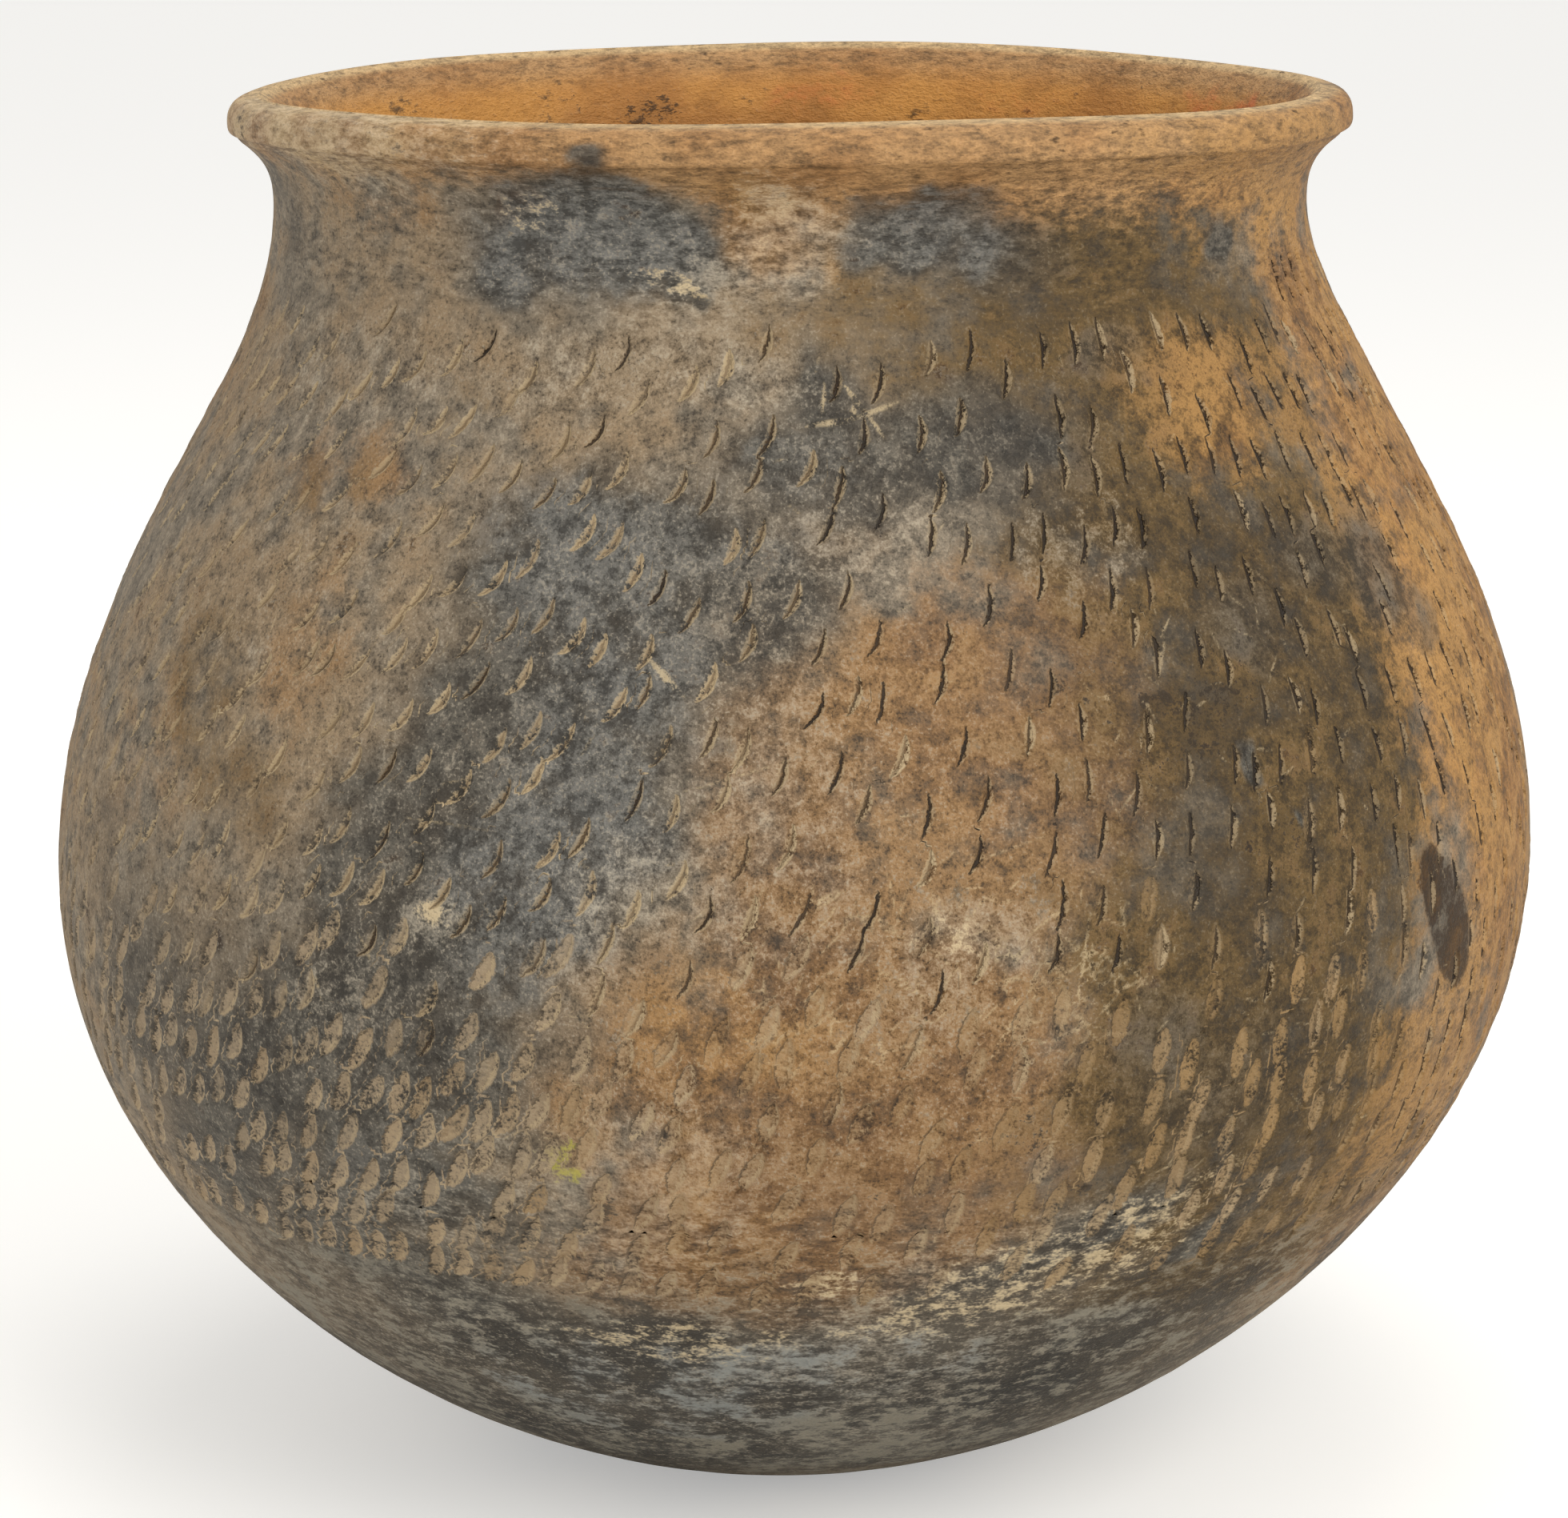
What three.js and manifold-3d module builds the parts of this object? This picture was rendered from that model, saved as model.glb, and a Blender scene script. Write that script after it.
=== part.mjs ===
// A hand-built earthenware cooking jar: round body, low flared rim and a small flat spot to stand on.
// Millimetres, +Z up. The origin is the middle of the flat spot, on the surface that the jar stands on.
//
// Such a jar is built up from separate pieces of clay. A pancake pressed into a mould makes the base
// bowl, ropes of clay make the wall coil by coil, a wider strip makes the neck, and a last, thicker coil
// is turned outwards as the lip. Each coil is pressed down inside the edge of the one below it, so every
// joint is a slope that runs from high on the outside to low on the inside, with a film of slip in it.
// The wall coils were then pressed all over with the edge of a fingernail. The solids carry the deepest of
// those marks, in two rows on each coil.
import * as THREE from "three";
import { mergeVertices, toCreasedNormals } from "three/addons/utils/BufferGeometryUtils.js";
import loadSolids from "manifold-3d";

// The outline, at the outside of the wall: the flat spot, the belly, the neck, the lip's widest line and
// the lip's crest. Each height but the belly's is the rise from the line before it.
const footRadius = 34;
const bellyRadius = 150;
const bellyHeight = 122.5;
const neckRadius = 102.5;
const neckRise = 134;
const lipOverhang = 8.8;
const lipRise = 15.7;
const crestInset = 6.1;
const crestRise = 5.4;

// How full the curves between those points are: the lengths of the curves' handles.
const footFullness = 34.5;
const lowerBellyFullness = 73;
const upperBellyFullness = 59;
const neckFullness = 33;
const throatFullness = 6.8;
const underLipFullness = 6.2;
const lipFullness = 4;
const crestFullness = 4;

// The slope under the lip, and how far below the lip's widest line and inside it the crease lies.
const underLipSlope = THREE.MathUtils.degToRad(35.5);
const creaseDrop = 2.2;
const creaseInset = 0.75;

// The wall, and how far the throat flares above the neck.
const baseThickness = 9;
const wallThickness = 6.5;
const flareRise = 12;
const innerCrestFullness = 3;

// The joints between the pieces of clay. The mould ends below the belly, the neck strip starts below the
// neck, and the lip's coil starts at the crease. Each joint comes out lower on the inside, by its lap.
const mouldDrop = 38;
const neckStripDrop = 11;
const coilRise = 18.4;
const jointLap = 6;
const rimLap = 2;
const slipFilm = 0.3;

// The nail marks. Each is a notch with both sides bowed to the right. In the lowest rows the finger slid as
// it pressed, and the notch is a wider, straighter scoop. Marks lean most at leanTurn, as an angle from the
// front. The highest row of the top coil has none. The cutter stands a little proud of the wall.
const rowsPerCoil = 2;
const bareRows = 1;
const scoopRows = 5;
const markLength = 7.8;
const markDepth = 1;
const slitWidth = 2;
const slitBow = 1.1;
const scoopWidth = 3.6;
const scoopBow = 0.3;
const markLean = THREE.MathUtils.degToRad(6);
const leanSwing = THREE.MathUtils.degToRad(24);
const leanTurn = THREE.MathUtils.degToRad(-55);
const leanSpread = THREE.MathUtils.degToRad(5);
const markStray = THREE.MathUtils.degToRad(0.9);
const cutterLift = 0.4;
const cutterFaces = [0, 1, 3, 1, 2, 3, 1, 0, 4, 2, 1, 4, 3, 2, 4, 0, 3, 4];

// What the hands did: the wall is a little oval and not quite upright, and the rim is not level.
const ovality = 0.0035;
const ovalTurn = THREE.MathUtils.degToRad(35);
const lobing = 0.0022;
const lobeTurn = THREE.MathUtils.degToRad(70);
const shoulderWander = 4.2;
const shoulderWanderRise = 62;
const neckWander = -2.1;
const neckWanderDrop = 37;
const rimLean = 0.62;
const rimSaddle = 0.79;
const rimRipple = 0.25;
const rippleCount = 5;
const rimSagDrop = 49;

// How finely the curves are cut.
const roundSteps = 48;
const facesPerMark = 2;
const baseSteps = 10;
const coilSteps = 2;
const coilInnerSteps = 1;
const neckSteps = 5;
const lipSteps = 9;
const flareSteps = 6;
const probe = 0.05;
const halvings = 40;
const sameSpot = 1e-4;
const creaseAngle = THREE.MathUtils.degToRad(20);

const clayOfRim = new THREE.MeshStandardMaterial({ color: 0xa07e56, roughness: 0.85, metalness: 0 });
const clayOfNeck = new THREE.MeshStandardMaterial({ color: 0x857562, roughness: 0.88, metalness: 0 });
const clayOfWall = new THREE.MeshStandardMaterial({ color: 0x8a7158, roughness: 0.9, metalness: 0 });
const clayOfBase = new THREE.MeshStandardMaterial({ color: 0x6c5f52, roughness: 0.92, metalness: 0 });

const solids = await loadSolids();
solids.setup();
const { Manifold, Mesh } = solids;

const point = (radius, height) => new THREE.Vector2(radius, height);

// The outside of the jar, from the middle of the foot up and over the lip to its crest.
const neckHeight = bellyHeight + neckRise;
const foot = point(footRadius, 0);
const belly = point(bellyRadius, bellyHeight);
const neck = point(neckRadius, neckHeight);
const lip = point(neckRadius + lipOverhang, neckHeight + lipRise);
const crease = point(lip.x - creaseInset, lip.y - creaseDrop);
const crest = point(lip.x - crestInset, lip.y + crestRise);
const underLip = point(Math.cos(underLipSlope), Math.sin(underLipSlope));

// A curve between two points that leaves the first and reaches the second by the handles given.
function curveBetween(start, startHandle, endHandle, end) {
  return new THREE.CubicBezierCurve(start, start.clone().add(startHandle), end.clone().add(endHandle), end);
}

const outline = new THREE.CurvePath();
outline.add(new THREE.LineCurve(point(0, 0), foot));
outline.add(curveBetween(foot, point(footFullness, 0), point(0, -lowerBellyFullness), belly));
outline.add(curveBetween(belly, point(0, upperBellyFullness), point(0, -neckFullness), neck));
outline.add(
  curveBetween(
    neck,
    point(0, throatFullness),
    underLip.clone().multiplyScalar(-underLipFullness),
    crease,
  ),
);
outline.add(
  curveBetween(
    crease,
    underLip.clone().multiplyScalar(creaseInset / underLip.x),
    point(0, -creaseInset),
    lip,
  ),
);
outline.add(curveBetween(lip, point(0, lipFullness), point(crestFullness, 0), crest));
const outlineLength = outline.getLength();

// The place on the outside, a length along the outline from the middle of the foot.
function outsideAt(along) {
  return outline.getPoint(THREE.MathUtils.clamp(along / outlineLength, 0, 1));
}

// The length along the outline at which it reaches a height, above the foot and below the lip.
function alongAtHeight(height) {
  let low = footRadius;
  let high = outlineLength;
  for (let halving = 0; halving < halvings; halving += 1) {
    const middle = (low + high) / 2;
    if (outsideAt(middle).y < height) low = middle;
    else high = middle;
  }
  return low;
}

const faceAngle = (2 * Math.PI) / roundSteps;
const marksPerRow = roundSteps / facesPerMark;
const alongMould = alongAtHeight(bellyHeight - mouldDrop);
const alongNeck = alongAtHeight(neckHeight);

// The wall is thickest in the base and reaches its even thickness where the mould ended.
function thicknessAt(along) {
  const risen = THREE.MathUtils.smoothstep(along, footRadius, alongMould);
  return THREE.MathUtils.lerp(baseThickness, wallThickness, risen);
}

function behindWall(along) {
  const tangent = outline.getTangent(along / outlineLength);
  return outsideAt(along).addScaledVector(point(-tangent.y, tangent.x), thicknessAt(along));
}

// The flare of the throat, from the inside of the neck up to the crest of the lip.
const throat = behindWall(alongNeck);
const flare = curveBetween(throat, point(0, flareRise), point(-innerCrestFullness, 0), crest);

// The place on the inside that lies across the wall from a length along the outline.
function insideAt(along) {
  if (along <= alongNeck) return behindWall(along);
  return flare.getPointAt(Math.min(1, (along - alongNeck) / (outlineLength - alongNeck)));
}

// The points from one length along the outline to another, on the outside or on the inside.
function run(placeAt, from, to, steps) {
  return Array.from({ length: steps + 1 }, (_, i) => placeAt(THREE.MathUtils.lerp(from, to, i / steps)));
}

// How far along a surface the end of a joint face moves to clear the middle of the joint by half the film.
function filmStep(placeAt, along, across) {
  const ahead = placeAt(along + probe).sub(placeAt(along - probe)).divideScalar(2 * probe);
  return slipFilm / 2 / Math.abs(ahead.cross(across));
}

// The two ends of a joint face. Side is 1 for the piece above the joint and -1 for the piece below it.
function jointEnds({ along, lap }, side) {
  const across = insideAt(along - lap).sub(outsideAt(along)).normalize();
  return {
    outer: along + side * filmStep(outsideAt, along, across),
    inner: along - lap + side * filmStep(insideAt, along - lap, across),
  };
}

// How far the axis of the jar has moved at a height, away from the middle of the foot.
function wanderAt(height) {
  const { smoothstep } = THREE.MathUtils;
  return (
    shoulderWander * smoothstep(height, 0, bellyHeight + shoulderWanderRise) +
    neckWander * smoothstep(height, neckHeight - neckWanderDrop, neckHeight)
  );
}

function swellAt(angle) {
  return 1 + ovality * Math.cos(2 * (angle - ovalTurn)) + lobing * Math.cos(3 * (angle - lobeTurn));
}

function rimRiseAt(angle) {
  return (
    rimLean * Math.cos(angle) -
    rimSaddle * (1 + Math.cos(2 * angle)) +
    rimRipple * Math.cos(rippleCount * angle)
  );
}

function shapeByHand(geometry) {
  const place = geometry.getAttribute("position");
  for (let i = 0; i < place.count; i += 1) {
    const [x, y, z] = [place.getX(i), place.getY(i), place.getZ(i)];
    const angle = Math.atan2(y, x);
    const swell = swellAt(angle);
    const sag = THREE.MathUtils.smoothstep(z, neckHeight - rimSagDrop, crest.y);
    place.setXYZ(i, x * swell + wanderAt(z), y * swell, z + rimRiseAt(angle) * sag);
  }
  return geometry;
}

// A closed geometry as a solid that can be cut.
function solidOf(geometry) {
  const bare = new THREE.BufferGeometry().setAttribute("position", geometry.getAttribute("position"));
  const joined = mergeVertices(bare.setIndex(geometry.getIndex()), sameSpot);
  const vertProperties = Float32Array.from(joined.getAttribute("position").array);
  const triVerts = Uint32Array.from(joined.getIndex().array);
  return new Manifold(new Mesh({ numProp: 3, vertProperties, triVerts }));
}

function geometryOf(solid) {
  const { vertProperties, triVerts } = solid.getMesh();
  const geometry = new THREE.BufferGeometry().setIndex(new THREE.BufferAttribute(triVerts, 1));
  return geometry.setAttribute("position", new THREE.BufferAttribute(vertProperties, 3));
}

// A number from -1 to 1 that differs from mark to mark, and is the same each time.
const chance = (row, mark, kind) => Math.sin(12.9 * row + 78.2 * mark + 37.7 * kind);

// The cutter for one notch. At z = 0, the wall's surface, the notch is as long and as wide as asked.
function notchCutter(width, bow) {
  const spread = 1 + cutterLift / markDepth;
  const rim = [
    [0, markLength / 2],
    [bow - width / 2, 0],
    [0, -markLength / 2],
    [bow + width / 2, 0],
  ].map(([right, up]) => [(right - bow) * spread + bow, up * spread, cutterLift]);
  const corners = [...rim, [bow, 0, -markDepth]].flat();
  const cutter = new THREE.BufferGeometry().setIndex(cutterFaces);
  return cutter.setAttribute("position", new THREE.Float32BufferAttribute(corners, 3));
}

// The cutter moved to its place on one flat face of the turned wall, with its top leaning to the right.
function nailNotch({ along, face, stray, leanStray, width, bow }) {
  const middle = (face + 0.5) * faceAngle;
  const bearing = middle + stray;
  const lean = markLean + leanSwing * Math.cos(bearing - leanTurn) + leanStray;
  const { x: radius, y: height } = outsideAt(along);
  const reach = (radius * Math.cos(faceAngle / 2)) / Math.cos(stray);
  const slope = outline.getTangent(along / outlineLength);
  const onFront = new THREE.Matrix4().makeBasis(
    new THREE.Vector3(1, 0, 0),
    new THREE.Vector3(0, -slope.x, slope.y),
    new THREE.Vector3(0, -slope.y, -slope.x),
  );
  const cutter = notchCutter(width, bow).rotateZ(-lean).applyMatrix4(onFront).rotateZ(middle);
  return solidOf(cutter.translate(reach * Math.sin(bearing), -reach * Math.cos(bearing), height));
}

// The marks on one wall coil: even rows, each a face further round than the row below it.
function marksOn(coil, below, above) {
  const rows = coil === wallCoilCount - 1 ? rowsPerCoil - bareRows : rowsPerCoil;
  return Array.from({ length: rows * marksPerRow }, (_, i) => {
    const row = coil * rowsPerCoil + Math.floor(i / marksPerRow);
    const mark = i % marksPerRow;
    const up = ((row % rowsPerCoil) + 0.5) / rowsPerCoil;
    return {
      along: THREE.MathUtils.lerp(below.along, above.along, up),
      face: mark * facesPerMark + (row % facesPerMark),
      stray: markStray * chance(row, mark, 0),
      leanStray: leanSpread * chance(row, mark, 1),
      width: row < scoopRows ? scoopWidth : slitWidth,
      bow: row < scoopRows ? scoopBow : slitBow,
    };
  });
}

function pressMarks(geometry, marks) {
  return geometryOf(solidOf(geometry).subtract(Manifold.union(marks.map(nailNotch))));
}

// A round piece of clay, turned from its section, marked by the nail and then shaped by hand.
function clayPiece(name, section, material, marks = []) {
  const turned = new THREE.LatheGeometry(section, roundSteps).rotateX(Math.PI / 2);
  const marked = marks.length > 0 ? pressMarks(turned, marks) : turned;
  const piece = new THREE.Mesh(toCreasedNormals(shapeByHand(marked), creaseAngle), material);
  piece.name = name;
  return piece;
}

function baseBowl(above) {
  const edge = jointEnds(above, -1);
  const outside = run(outsideAt, footRadius, edge.outer, baseSteps);
  const inside = run(insideAt, edge.inner, footRadius, baseSteps);
  return clayPiece("base_bowl", [point(0, 0), ...outside, ...inside, point(0, baseThickness)], clayOfBase);
}

function ringCoil(name, below, above, [outerSteps, innerSteps], material, marks) {
  const bottom = jointEnds(below, 1);
  const top = jointEnds(above, -1);
  const outside = run(outsideAt, bottom.outer, top.outer, outerSteps);
  const inside = run(insideAt, top.inner, bottom.inner, innerSteps);
  return clayPiece(name, [...outside, ...inside, outside[0]], material, marks);
}

function rimCoil(below) {
  const bottom = jointEnds(below, 1);
  const outside = run(outsideAt, bottom.outer, outlineLength, lipSteps);
  const inside = run(insideAt, outlineLength, bottom.inner, flareSteps);
  return clayPiece("rim_coil", [...outside, ...inside.slice(1), outside[0]], clayOfRim);
}

// The joints of the wall, from the edge of the mould up to the neck, as evenly spaced as the coils allow.
const alongNeckCoil = alongAtHeight(neckHeight - neckStripDrop);
const wallCoilCount = Math.max(1, Math.round((alongNeckCoil - alongMould) / coilRise));
const wallJoints = Array.from({ length: wallCoilCount + 1 }, (_, i) => ({
  along: THREE.MathUtils.lerp(alongMould, alongNeckCoil, i / wallCoilCount),
  lap: jointLap,
}));
const rimJoint = { along: alongAtHeight(crease.y), lap: rimLap };

const jar = new THREE.Group();
jar.add(baseBowl(wallJoints[0]));
for (let i = 0; i < wallCoilCount; i += 1) {
  const name = `wall_coil_${String(i + 1).padStart(2, "0")}`;
  const joints = [wallJoints[i], wallJoints[i + 1]];
  jar.add(ringCoil(name, ...joints, [coilSteps, coilInnerSteps], clayOfWall, marksOn(i, ...joints)));
}
jar.add(ringCoil("neck_coil", wallJoints[wallCoilCount], rimJoint, [neckSteps, neckSteps], clayOfNeck));
jar.add(rimCoil(rimJoint));

export default jar;
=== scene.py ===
"""A hand-built earthenware cooking jar with nail-marked sides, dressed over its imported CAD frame.

Sizes are in millimetres until a mesh is made, and bearings in degrees round the jar from its front, plus
to the right. Every piece of clay is one closed mesh. The outside of each is cut from one surface that runs
over the whole jar, so neighbours meet without a step.
"""

import logging
from dataclasses import dataclass, field
from enum import Enum
from functools import cached_property

import bpy
import numpy as np
from numpy.typing import NDArray
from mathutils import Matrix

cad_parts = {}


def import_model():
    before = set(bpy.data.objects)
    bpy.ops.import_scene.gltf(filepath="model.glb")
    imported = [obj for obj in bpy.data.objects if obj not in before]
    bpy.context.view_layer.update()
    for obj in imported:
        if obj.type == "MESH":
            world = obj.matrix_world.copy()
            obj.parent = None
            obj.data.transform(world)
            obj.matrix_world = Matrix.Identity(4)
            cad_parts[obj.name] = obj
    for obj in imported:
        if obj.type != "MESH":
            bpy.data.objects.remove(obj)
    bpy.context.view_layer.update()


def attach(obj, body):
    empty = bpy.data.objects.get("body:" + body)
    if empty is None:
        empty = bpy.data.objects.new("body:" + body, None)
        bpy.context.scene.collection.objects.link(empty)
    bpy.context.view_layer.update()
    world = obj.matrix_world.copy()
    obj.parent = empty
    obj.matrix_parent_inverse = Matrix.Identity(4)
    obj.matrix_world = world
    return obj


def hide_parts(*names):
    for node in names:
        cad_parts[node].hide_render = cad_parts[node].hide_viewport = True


Array = NDArray[np.float64]
Colour = tuple[float, float, float, float]
Socket = bpy.types.NodeSocket

logging.basicConfig(level=logging.INFO, format="%(name)s: %(message)s")
log = logging.getLogger("jar")

MM = 0.001
SEED = 7
FULL_TURN = 360.0
JAR_MIDDLE = 0.14
WHITE = (1.0, 1.0, 1.0, 1.0)


def smooth(value: Array, low: float, high: float) -> Array:
    """Rises from 0 at low to 1 at high as 3t^2 - 2t^3."""
    t = np.clip((value - low) / (high - low), 0.0, 1.0)
    return t * t * (3.0 - 2.0 * t)


def srgb(red: int, green: int, blue: int) -> Colour:
    """A colour as a screen shows it, as the linear colour that a shader takes.

    Args:
        red: From 0 to 255.
        green: From 0 to 255.
        blue: From 0 to 255.

    Returns:
        The linear colour, with full cover.
    """
    share = np.array([red, green, blue]) / 255.0
    linear = np.where(share <= 0.04045, share / 12.92, ((share + 0.055) / 1.055) ** 2.4)
    return (float(linear[0]), float(linear[1]), float(linear[2]), 1.0)


@dataclass(frozen=True)
class JarSizes:
    """The driving sizes of the jar, the same as the CAD model's."""

    foot_radius: float = 34.0
    belly_radius: float = 150.0
    belly_height: float = 122.5
    neck_radius: float = 102.5
    neck_rise: float = 134.0
    lip_overhang: float = 8.8
    lip_rise: float = 15.7
    crest_inset: float = 6.1
    crest_rise: float = 5.4
    foot_fullness: float = 34.5
    lower_belly_fullness: float = 73.0
    upper_belly_fullness: float = 59.0
    neck_fullness: float = 33.0
    throat_fullness: float = 6.8
    under_lip_fullness: float = 6.2
    lip_fullness: float = 4.0
    crest_fullness: float = 4.0
    under_lip_slope: float = np.radians(35.5)
    crease_drop: float = 2.2
    crease_inset: float = 0.75
    base_thickness: float = 9.0
    wall_thickness: float = 6.5
    flare_rise: float = 12.0
    inner_crest_fullness: float = 3.0
    mould_drop: float = 38.0
    neck_strip_drop: float = 11.0
    coil_rise: float = 18.4
    joint_lap: float = 6.0
    rim_lap: float = 2.0

    @property
    def neck_height(self) -> float:
        """The height of the neck's narrowest line."""
        return self.belly_height + self.neck_rise

    @property
    def crest_height(self) -> float:
        """The height of the lip's crest, before the hands bent it."""
        return self.neck_height + self.lip_rise + self.crest_rise


def bezier(start: Array, start_handle: Array, end_handle: Array, end: Array, count: int = 240) -> Array:
    """Points of a cubic curve: (1-t)^3 a + 3 (1-t)^2 t b + 3 (1-t) t^2 c + t^3 d, with t from 0 to 1.

    Args:
        start: Its first point, a.
        start_handle: The way from a to b.
        end_handle: The way from d to c.
        end: Its last point, d.
        count: How many points are worked out.

    Returns:
        The points, in order.
    """
    t = np.linspace(0.0, 1.0, count)[:, None]
    second = start + start_handle
    third = end + end_handle
    rest = 1.0 - t
    return rest**3 * start + 3 * rest**2 * t * second + 3 * rest * t**2 * third + t**3 * end


class Path:
    """A line of (radius, height) points that is read by the length along it."""

    def __init__(self, points: Array) -> None:
        """Keeps the points and the length along the line at each.

        Args:
            points: Radius and height of each point, in order.
        """
        steps = np.hypot(*np.diff(points, axis=0).T)
        keep = np.concatenate([[True], steps > 1e-9])
        self.points = points[keep]
        steps = np.hypot(*np.diff(self.points, axis=0).T)
        self.along = np.concatenate([[0.0], np.cumsum(steps)])
        self.length = float(self.along[-1])

    def at(self, along: Array) -> Array:
        """Reads the line.

        Args:
            along: Lengths along the line.

        Returns:
            The (radius, height) at each.
        """
        radius = np.interp(along, self.along, self.points[:, 0])
        height = np.interp(along, self.along, self.points[:, 1])
        return np.stack([radius, height], axis=-1)


class Outline:
    """The section of the jar: the outside, the inside and where the joints between the coils lie."""

    def __init__(self, sizes: JarSizes) -> None:
        """Draws the outside from the middle of the foot to the crest, and the flare of the throat.

        Args:
            sizes: The driving sizes of the jar.
        """
        self.sizes = sizes
        foot = np.array([sizes.foot_radius, 0.0])
        belly = np.array([sizes.belly_radius, sizes.belly_height])
        neck = np.array([sizes.neck_radius, sizes.neck_height])
        lip = neck + [sizes.lip_overhang, sizes.lip_rise]
        crease = lip - [sizes.crease_inset, sizes.crease_drop]
        crest = lip + [-sizes.crest_inset, sizes.crest_rise]
        slope = np.array([np.cos(sizes.under_lip_slope), np.sin(sizes.under_lip_slope)])
        level = np.array([1.0, 0.0])
        upright = np.array([0.0, 1.0])
        parts = [
            np.array([[0.0, 0.0], foot]),
            bezier(foot, level * sizes.foot_fullness, -upright * sizes.lower_belly_fullness, belly),
            bezier(belly, upright * sizes.upper_belly_fullness, -upright * sizes.neck_fullness, neck),
            bezier(neck, upright * sizes.throat_fullness, -slope * sizes.under_lip_fullness, crease),
            bezier(crease, slope * sizes.crease_inset / slope[0], -upright * sizes.crease_inset, lip),
            bezier(lip, upright * sizes.lip_fullness, level * sizes.crest_fullness, crest),
        ]
        self.outside = Path(np.concatenate(parts))
        self.mould = self.along_at(sizes.belly_height - sizes.mould_drop)
        self.neck = self.along_at(sizes.neck_height)
        self.crease = self.along_at(float(crease[1]))
        throat = self._behind_wall(np.array([self.neck]))[0]
        flare = bezier(throat, upright * sizes.flare_rise, -level * sizes.inner_crest_fullness, crest)
        self.flare = Path(flare)

    @property
    def length(self) -> float:
        """The length along the outside from the middle of the foot to the crest."""
        return self.outside.length

    def along_at(self, height: float) -> float:
        """Finds the first place of the outside at a height.

        Args:
            height: The height above the foot.

        Returns:
            The length along the outside.
        """
        heights = self.outside.points[:, 1]
        first = int(np.argmax(heights >= height))
        span = slice(first - 1, first + 1)
        return float(np.interp(height, heights[span], self.outside.along[span]))

    def _behind_wall(self, along: Array) -> Array:
        """The outside moved inwards, square to itself, by the thickness of the wall.

        Args:
            along: Lengths along the outside.

        Returns:
            The (radius, height) at each.
        """
        probe = 0.05
        ahead = self.outside.at(along + probe) - self.outside.at(along - probe)
        ahead = ahead / np.hypot(ahead[:, 0], ahead[:, 1])[:, None]
        thinned = smooth(along, self.sizes.foot_radius, self.mould)
        base, wall = self.sizes.base_thickness, self.sizes.wall_thickness
        thickness = base + (wall - base) * thinned
        return self.outside.at(along) + np.stack([-ahead[:, 1], ahead[:, 0]], axis=-1) * thickness[:, None]

    def inside(self, along: Array) -> Array:
        """The inside, which follows the wall up to the neck and then the flare of the throat.

        Args:
            along: Lengths along the outside.

        Returns:
            The (radius, height) that lies across the wall from each.
        """
        share = (along - self.neck) / (self.length - self.neck)
        flare = self.flare.at(np.clip(share, 0.0, 1.0) * self.flare.length)
        return np.where((along <= self.neck)[:, None], self._behind_wall(along), flare)

    @cached_property
    def joints(self) -> list[float]:
        """Where one piece of clay ends and the next begins.

        Returns:
            Lengths along the outside, going up.
        """
        strip = self.along_at(self.sizes.neck_height - self.sizes.neck_strip_drop)
        count = round((strip - self.mould) / self.sizes.coil_rise)
        return [*np.linspace(self.mould, strip, count + 1).tolist(), self.crease]


@dataclass(frozen=True)
class HandShape:
    """How the hands bent the jar: a little oval, not quite upright, and with an uneven rim."""

    sizes: JarSizes
    ovality: float = 0.0035
    oval_bearing: float = 125.0
    lobing: float = 0.0022
    lobe_bearing: float = 160.0
    shoulder_wander: float = 4.2
    shoulder_wander_rise: float = 62.0
    neck_wander: float = -2.1
    neck_wander_drop: float = 37.0
    rim_lean: float = 0.62
    rim_saddle: float = 0.79
    rim_ripple: float = 0.25
    rim_sag_drop: float = 49.0

    def wander(self, height: Array) -> Array:
        """How far the axis has moved to the right.

        Args:
            height: Heights above the foot.

        Returns:
            The distance at each.
        """
        neck, shoulder = self.sizes.neck_height, self.sizes.belly_height + self.shoulder_wander_rise
        at_neck = self.neck_wander * smooth(height, neck - self.neck_wander_drop, neck)
        return self.shoulder_wander * smooth(height, 0.0, shoulder) + at_neck

    def place(self, section: Array, bearing: Array) -> Array:
        """The points of a section at every bearing, bent by the hands.

        A point at radius r, height z and bearing b goes to (r w sin b + d, -r w cos b, z + u s), where w
        is the swell of the oval at b, d the wander of the axis at z, u the rise of the rim at b and s how
        far up the neck z is.

        Args:
            section: The (radius, height) of each row of points.
            bearing: The bearing of each column, in degrees.

        Returns:
            The places, as rows by columns by x, y and z.
        """
        turn = np.radians(bearing)
        from_oval = np.radians(bearing - self.oval_bearing)
        from_lobe = np.radians(bearing - self.lobe_bearing)
        swell = 1 + self.ovality * np.cos(2 * from_oval) + self.lobing * np.cos(3 * from_lobe)
        rise = self.rim_lean * np.sin(turn) - self.rim_saddle * (1 - np.cos(2 * turn))
        rise = rise + self.rim_ripple * np.sin(5 * turn)
        radius, height = section[:, 0][:, None], section[:, 1][:, None]
        sag = smooth(height, self.sizes.neck_height - self.rim_sag_drop, self.sizes.crest_height)
        x = radius * swell * np.sin(turn) + self.wander(height)
        y = -radius * swell * np.cos(turn)
        z = height + rise * sag
        return np.stack(np.broadcast_arrays(x, y, z), axis=-1)


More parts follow.
